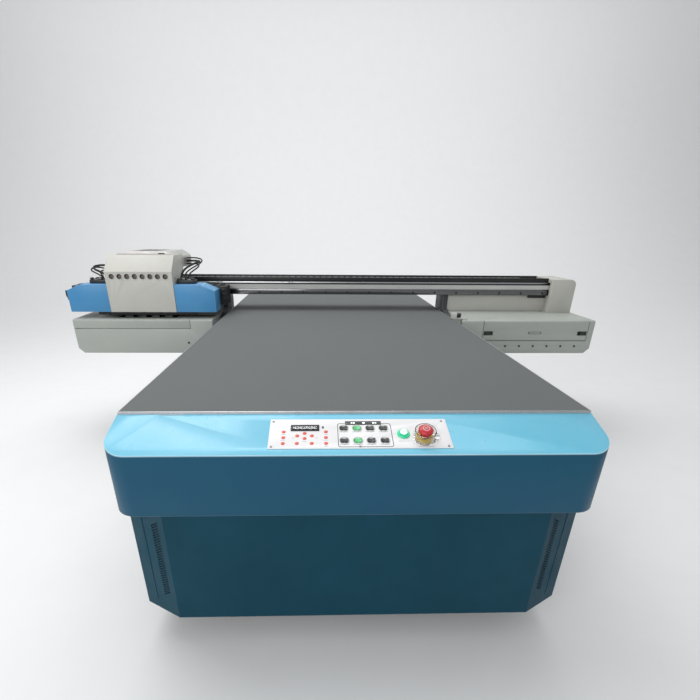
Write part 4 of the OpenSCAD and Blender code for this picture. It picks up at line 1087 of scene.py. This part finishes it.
bolt = rod("plate_bolts", (728, 1730, 775), (731, 1730, 775), 7, 6, 0)
steps = [(0, y, z) for z in (0, 45) for y in (0, 50, 100)]
fit(both_sides(copies(bolt, steps[1:])), "gantry", screw_metal, "zinc_steel")
sensor = [slab("body", (668, 1386, 757.5), (697, 1412, 790), 2, 3),
          slab("arm", (668, 1386, 757), (762, 1412, 761), 1),
          slab("riser", (734, 1386, 750), (762, 1412, 758), 1)]
fit(join(sensor, "height_sensor"), "gantry", cover_grey[0], "cover_grey")
fit(rod("sensor_head", (697, 1399, 776), (722, 1399, 776), 13, 32, 3), "gantry", soot_black[0], "black_paint")
print("filler caps and ink tubes:", len(INKS), "pieces so far:", len(fitted))

# %% [markdown]
# ## Carriage
# The eight holes of the cover have pressed rims, and the caps of the small ink tanks show through them. The
# raised lid of the hood is bright metal with dark slots. Connector blocks sit on the lamp covers, and the
# lamps have cooling fins, fans and quartz windows underneath.

# %% Hole rims and tank caps
CARRIAGE_X = -1127  # the middle of the parked carriage
HOLES, HOLE_PITCH = 8, 42.8
steps = [(HOLE_PITCH * i, 0, 0) for i in range(1, HOLES)]
first_hole = CARRIAGE_X - HOLE_PITCH * (HOLES - 1) / 2
rim = turned("hole_rims", (first_hole, 1420, 981), FRONT,
             [(14.4, -2), (14.4, 0.6), (15.2, 1.3), (16.6, 0.9), (17, 0), (17, -2)], 32)
fit(copies(rim, steps), "carriage", cover_grey[1], "cover_grey")
cap = turned("tank_caps", (first_hole, 1433, 979), FRONT,
             [(0, 0), (12, 0), (12, 4), (10.5, 6), (6, 6), (5, 4), (0, 4)], 24)
fit(copies(cap, steps), "carriage", cap_brown, "head_metal")
print("holes with rims and caps:", HOLES)

# %% Hood lid, side screws and the strip of base plate and painted shade
# The black strip along the foot of the carriage stands partly for its dark base plate and partly for painted
# shade under the heads.
strip = slab("base_plate_shade_strip", (CARRIAGE_X - 255, 1436, 766.2), (CARRIAGE_X + 300, 1441, 784), 0.6)
fit(strip, "carriage", black_rubber, "black_paint")
LID_BOTTOM, LID_TOP, LID_FRONT = 1091.2, 1109, 1529
LID_END = ((-152, LID_BOTTOM), (-113, LID_TOP), (141, LID_TOP), (170, LID_BOTTOM))
lid = cut_plate("hood_lid", [(CARRIAGE_X + x, LID_FRONT, z) for x, z in LID_END], (0, 312, 0), 1.6, 3)
fit(lid, "carriage", hood_silver, "bed_aluminium")
slot_x = CARRIAGE_X + 92
slots = [slab("slot", (slot_x, LID_FRONT - 0.6, 1095), (slot_x + 36, LID_FRONT + 0.4, 1101), 0.2)]
for x in range(CARRIAGE_X - 60, CARRIAGE_X + 84, 16):
    slots.append(slab("slot", (x, 1560, LID_TOP - 0.2), (x + 6, 1800, LID_TOP + 0.6), 0.2))
fit(join(slots, "hood_slots"), "carriage", black_plastic, "black_plastic")
screw = turned("cover_screws", (CARRIAGE_X + 187.5, 1470, 830), RIGHT,
               [(0, 1.2), (2.2, 1.2), (2.6, 2.4), (4.6, 1.6), (5, 0), (0, 0)], 20)
copies(screw, [(0, 0, 70), (0, 0, 140), (0, 150, 70), (0, 150, 140)])
fit(both_sides(screw, CARRIAGE_X), "carriage", screw_metal, "zinc_steel")
vents = slab("hood_vents", (CARRIAGE_X + 187.2, 1690, 1030), (CARRIAGE_X + 188.2, 1820, 1034), 0.2)
copies(vents, [(0, 0, 10 * i) for i in range(1, 4)])
fit(both_sides(vents, CARRIAGE_X), "carriage", black_plastic, "black_plastic")
print("slots in the lid:", len(slots))


# %% Lamp covers: sloped frames and connector blocks
WING_TOP, SLOPE_START, WING_FALL = 938.1, 337, 34 / 80


def facet(left, right, front, back):
    """A flat bar that lies on the sloping corner of the right lamp cover."""
    corners = [(left, front), (right, front), (right, back), (left, back)]
    points = [(CARRIAGE_X + x, y, WING_TOP - (x - SLOPE_START) * WING_FALL) for x, y in corners]
    return cut_plate("bar", points, (0, 0, 0.9), 0.2, 1)


sloped = [facet(343, 349, 1430, 1547), facet(407, 413, 1430, 1547), facet(349, 407, 1430, 1435),
          facet(349, 407, 1542, 1547)]
fit(both_sides(join(sloped, "sloped_frames"), CARRIAGE_X), "carriage", slope_blue[0], "wing_blue")
blocks = []
for x, y, width, height in ((198, 1470, 26, 9), (228, 1466, 18, 15), (250, 1476, 30, 7), (284, 1470, 12, 12),
                            (204, 1498, 40, 6), (256, 1500, 22, 11)):
    blocks.append(slab("plug", (CARRIAGE_X + x, y, 956), (CARRIAGE_X + x + width, y + 22, 958 + height), 1.2))
fit(both_sides(join(blocks, "connector_plugs"), CARRIAGE_X), "carriage", black_plastic, "black_plastic")
pins = slab("connector_pins", (CARRIAGE_X + 231, 1465, 962), (CARRIAGE_X + 234, 1466.6, 970), 0.2)
copies(pins, [(5, 0, 0), (10, 0, 0), (24, 10.5, -8), (30, 10.5, -8), (36, 10.5, -8), (42, 10.5, -8)])
fit(both_sides(pins, CARRIAGE_X), "carriage", screw_metal, "zinc_steel")
left_plug = [slab("plug", (CARRIAGE_X - 430, 1428, 868), (CARRIAGE_X - 417, 1462, 904), 2),
             slab("plug", (CARRIAGE_X - 426, 1430, 852), (CARRIAGE_X - 417, 1458, 868), 1.5)]
fit(join(left_plug, "left_plug"), "carriage", black_plastic, "black_plastic")
print("connector blocks on each side:", len(blocks))

# %% Lamps: fins, fans, quartz, plugs
fin = slab("lamp_fins", (CARRIAGE_X + 456.5, 1561, 812), (CARRIAGE_X + 459.5, 1564.5, 910), 0.4)
copies(fin, [(0, 9 * i, 0) for i in range(1, 12)])
fit(both_sides(fin, CARRIAGE_X), "carriage", soot_black, "black_paint")
fan_x, fan_y = CARRIAGE_X + 404, 1613
fan = [turned("ring", (fan_x, fan_y, 915), UP, [(37, 0), (40, 0), (40, 4), (38.5, 5), (37, 4)]),
       turned("hub", (fan_x, fan_y, 914), UP, [(0, 0), (13, 0), (13, 4), (11, 5.5), (0, 5.5)], 28)]
for r in (18, 24, 30):
    fan.append(turned("ring", (fan_x, fan_y, 915), UP, [(r, 1), (r + 1.4, 1), (r + 1.4, 2.4), (r, 2.4)], 32))
for reach_x, reach_y in ((38, 1.2), (1.2, 38)):
    fan.append(slab("arm", (fan_x - reach_x, fan_y - reach_y, 915.5),
                    (fan_x + reach_x, fan_y + reach_y, 917.6), 0.3))
fit(both_sides(join(fan, "lamp_fans"), CARRIAGE_X), "carriage", black_plastic, "black_plastic")
quartz = slab("lamp_windows", (CARRIAGE_X + 330, 1568, 804.5), (CARRIAGE_X + 446, 1658, 807.2), 0.8)
fit(both_sides(quartz, CARRIAGE_X), "carriage", lamp_quartz, "black_plastic")
plug_x, PLUG_Z = CARRIAGE_X + 440, (838, 862, 886)
plugs = [slab("plug", (plug_x - 12, 1552, z), (plug_x + 12, 1562, z + 16), 1.5) for z in PLUG_Z]
plugs += [rod("gland", (plug_x, 1543, z + 8), (plug_x, 1553, z + 8), 6, 20, 1) for z in PLUG_Z]
fit(both_sides(join(plugs, "lamp_plugs"), CARRIAGE_X), "carriage", black_plastic, "black_plastic")
print("pieces so far:", len(fitted))

# %% [markdown]
# Underneath, each head has a gold nozzle plate, and the capping station has a soft lip around each cap. The
# hoses end in short fittings, and ribbon cables run from the heads to the board above them.

# %% Nozzle plates, cap lips, fittings and ribbons
HEAD_PITCH_X, HEAD_PITCH_Y = 78, 84
heads = [(HEAD_PITCH_X * i, HEAD_PITCH_Y * j, 0) for i in range(4) for j in range(2)]
plate = slab("nozzle_plates", (CARRIAGE_X - 133, 1488, 764), (CARRIAGE_X - 101, 1544, 765.6), 0.4)
fit(copies(plate, heads[1:]), "carriage", nozzle_gold, "head_metal")
lip = dish(slab("cap_lips", (CARRIAGE_X - 141, 1480, 757), (CARRIAGE_X - 93, 1552, 763), 1.0), UP, 3.4, 5.5)
fit(copies(lip, heads[1:]), "cap_station", black_rubber, "black_plastic")
fittings = []
for x, y, z, along, up in ((-187, 1537, 1033, -12, 0), (187, 1751, 1047, 12, 0), (-204.5, 1495, 957, 0, 14),
                           (216.5, 1495, 957, 0, 14)):
    x += CARRIAGE_X
    fittings.append(rod("fitting", (x, y, z), (x + along, y, z + up), 8.5, 24, 1.2))
fit(join(fittings, "hose_fittings"), "carriage", black_plastic, "black_plastic")
bend = ((1505, 859), (1500, 880), (1512, 889), (1513, 888.4), (1501, 879), (1506, 859))
ribbon = cut_plate("head_ribbons", [(CARRIAGE_X - 130, y, z) for y, z in bend], (26, 0, 0), 0)
fit(copies(ribbon, heads[1:]), "carriage", tank_white, "tank_white")
print("fitted pieces in all:", len(fitted))

# %% [markdown]
# Six hoses loop out of the terminals on the lamp covers and go back into the sides of the carriage. Each is
# one open smooth line with a round section.

# %% Hoses of the carriage
terminals = slab("hose_terminals", (CARRIAGE_X + 195.5, 1465, 938), (CARRIAGE_X + 299.5, 1525, 958), 2.0)
fit(both_sides(terminals, CARRIAGE_X), "carriage", black_plastic, "black_plastic", "lamp_hoses")
routes = {
    "hose_left": (6, [
        (-204.5, 1495, 956), (-206.5, 1496, 973), (-224.5, 1498, 989), (-252.5, 1502, 1003),
        (-276.5, 1508, 1014), (-281.5, 1516, 1024), (-262.5, 1526, 1031), (-230.5, 1534, 1033),
        (-204.5, 1537, 1033), (-188, 1537, 1033)]),
    "hose_right": (6, [
        (216.5, 1495, 956), (217.5, 1498, 975), (222.5, 1512, 997), (234.5, 1538, 1016),
        (252.5, 1578, 1031), (272.5, 1622, 1041), (282.5, 1664, 1045), (276.5, 1702, 1047),
        (256.5, 1732, 1047), (222.5, 1748, 1047), (202.5, 1751, 1047), (188, 1751, 1047)]),
    "thin_left_1": (4, [
        (-222, 1480, 957), (-224, 1482, 968), (-246, 1486, 984), (-275, 1492, 998), (-292, 1500, 1010),
        (-284, 1512, 1020), (-256, 1520, 1022), (-222, 1522, 1016), (-202, 1522, 1014), (-188, 1522, 1014)]),
    "thin_left_2": (4, [
        (-236, 1510, 957), (-237, 1511, 970), (-246, 1515, 984), (-252, 1519, 994), (-246, 1523, 1002),
        (-230, 1526, 1003), (-210, 1527, 1000), (-188, 1527, 1000)]),
    "thin_right_1": (4, [
        (236, 1480, 957), (237, 1483, 970), (244, 1500, 992), (258, 1536, 1010), (276, 1580, 1024),
        (292, 1630, 1036), (297, 1672, 1046), (288, 1712, 1056), (262, 1740, 1062), (226, 1752, 1064),
        (204, 1754, 1064), (188, 1754, 1064)]),
    "thin_right_2": (4, [
        (252, 1500, 957), (253, 1503, 968), (258, 1522, 986), (268, 1560, 1000), (276, 1606, 1010),
        (280, 1650, 1018), (274, 1690, 1026), (256, 1720, 1030), (226, 1736, 1030), (204, 1738, 1030),
        (188, 1738, 1030)]),
}
for name, (radius, route) in routes.items():
    hose = smooth_line(name, [(CARRIAGE_X + x, y, z) for x, y, z in route], radius, 12)
    hose.data.materials.append(black_rubber)
    bpy.context.view_layer.update()
    if radius == 6:
        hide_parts("lamp_hoses")
    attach(hose, "carriage")
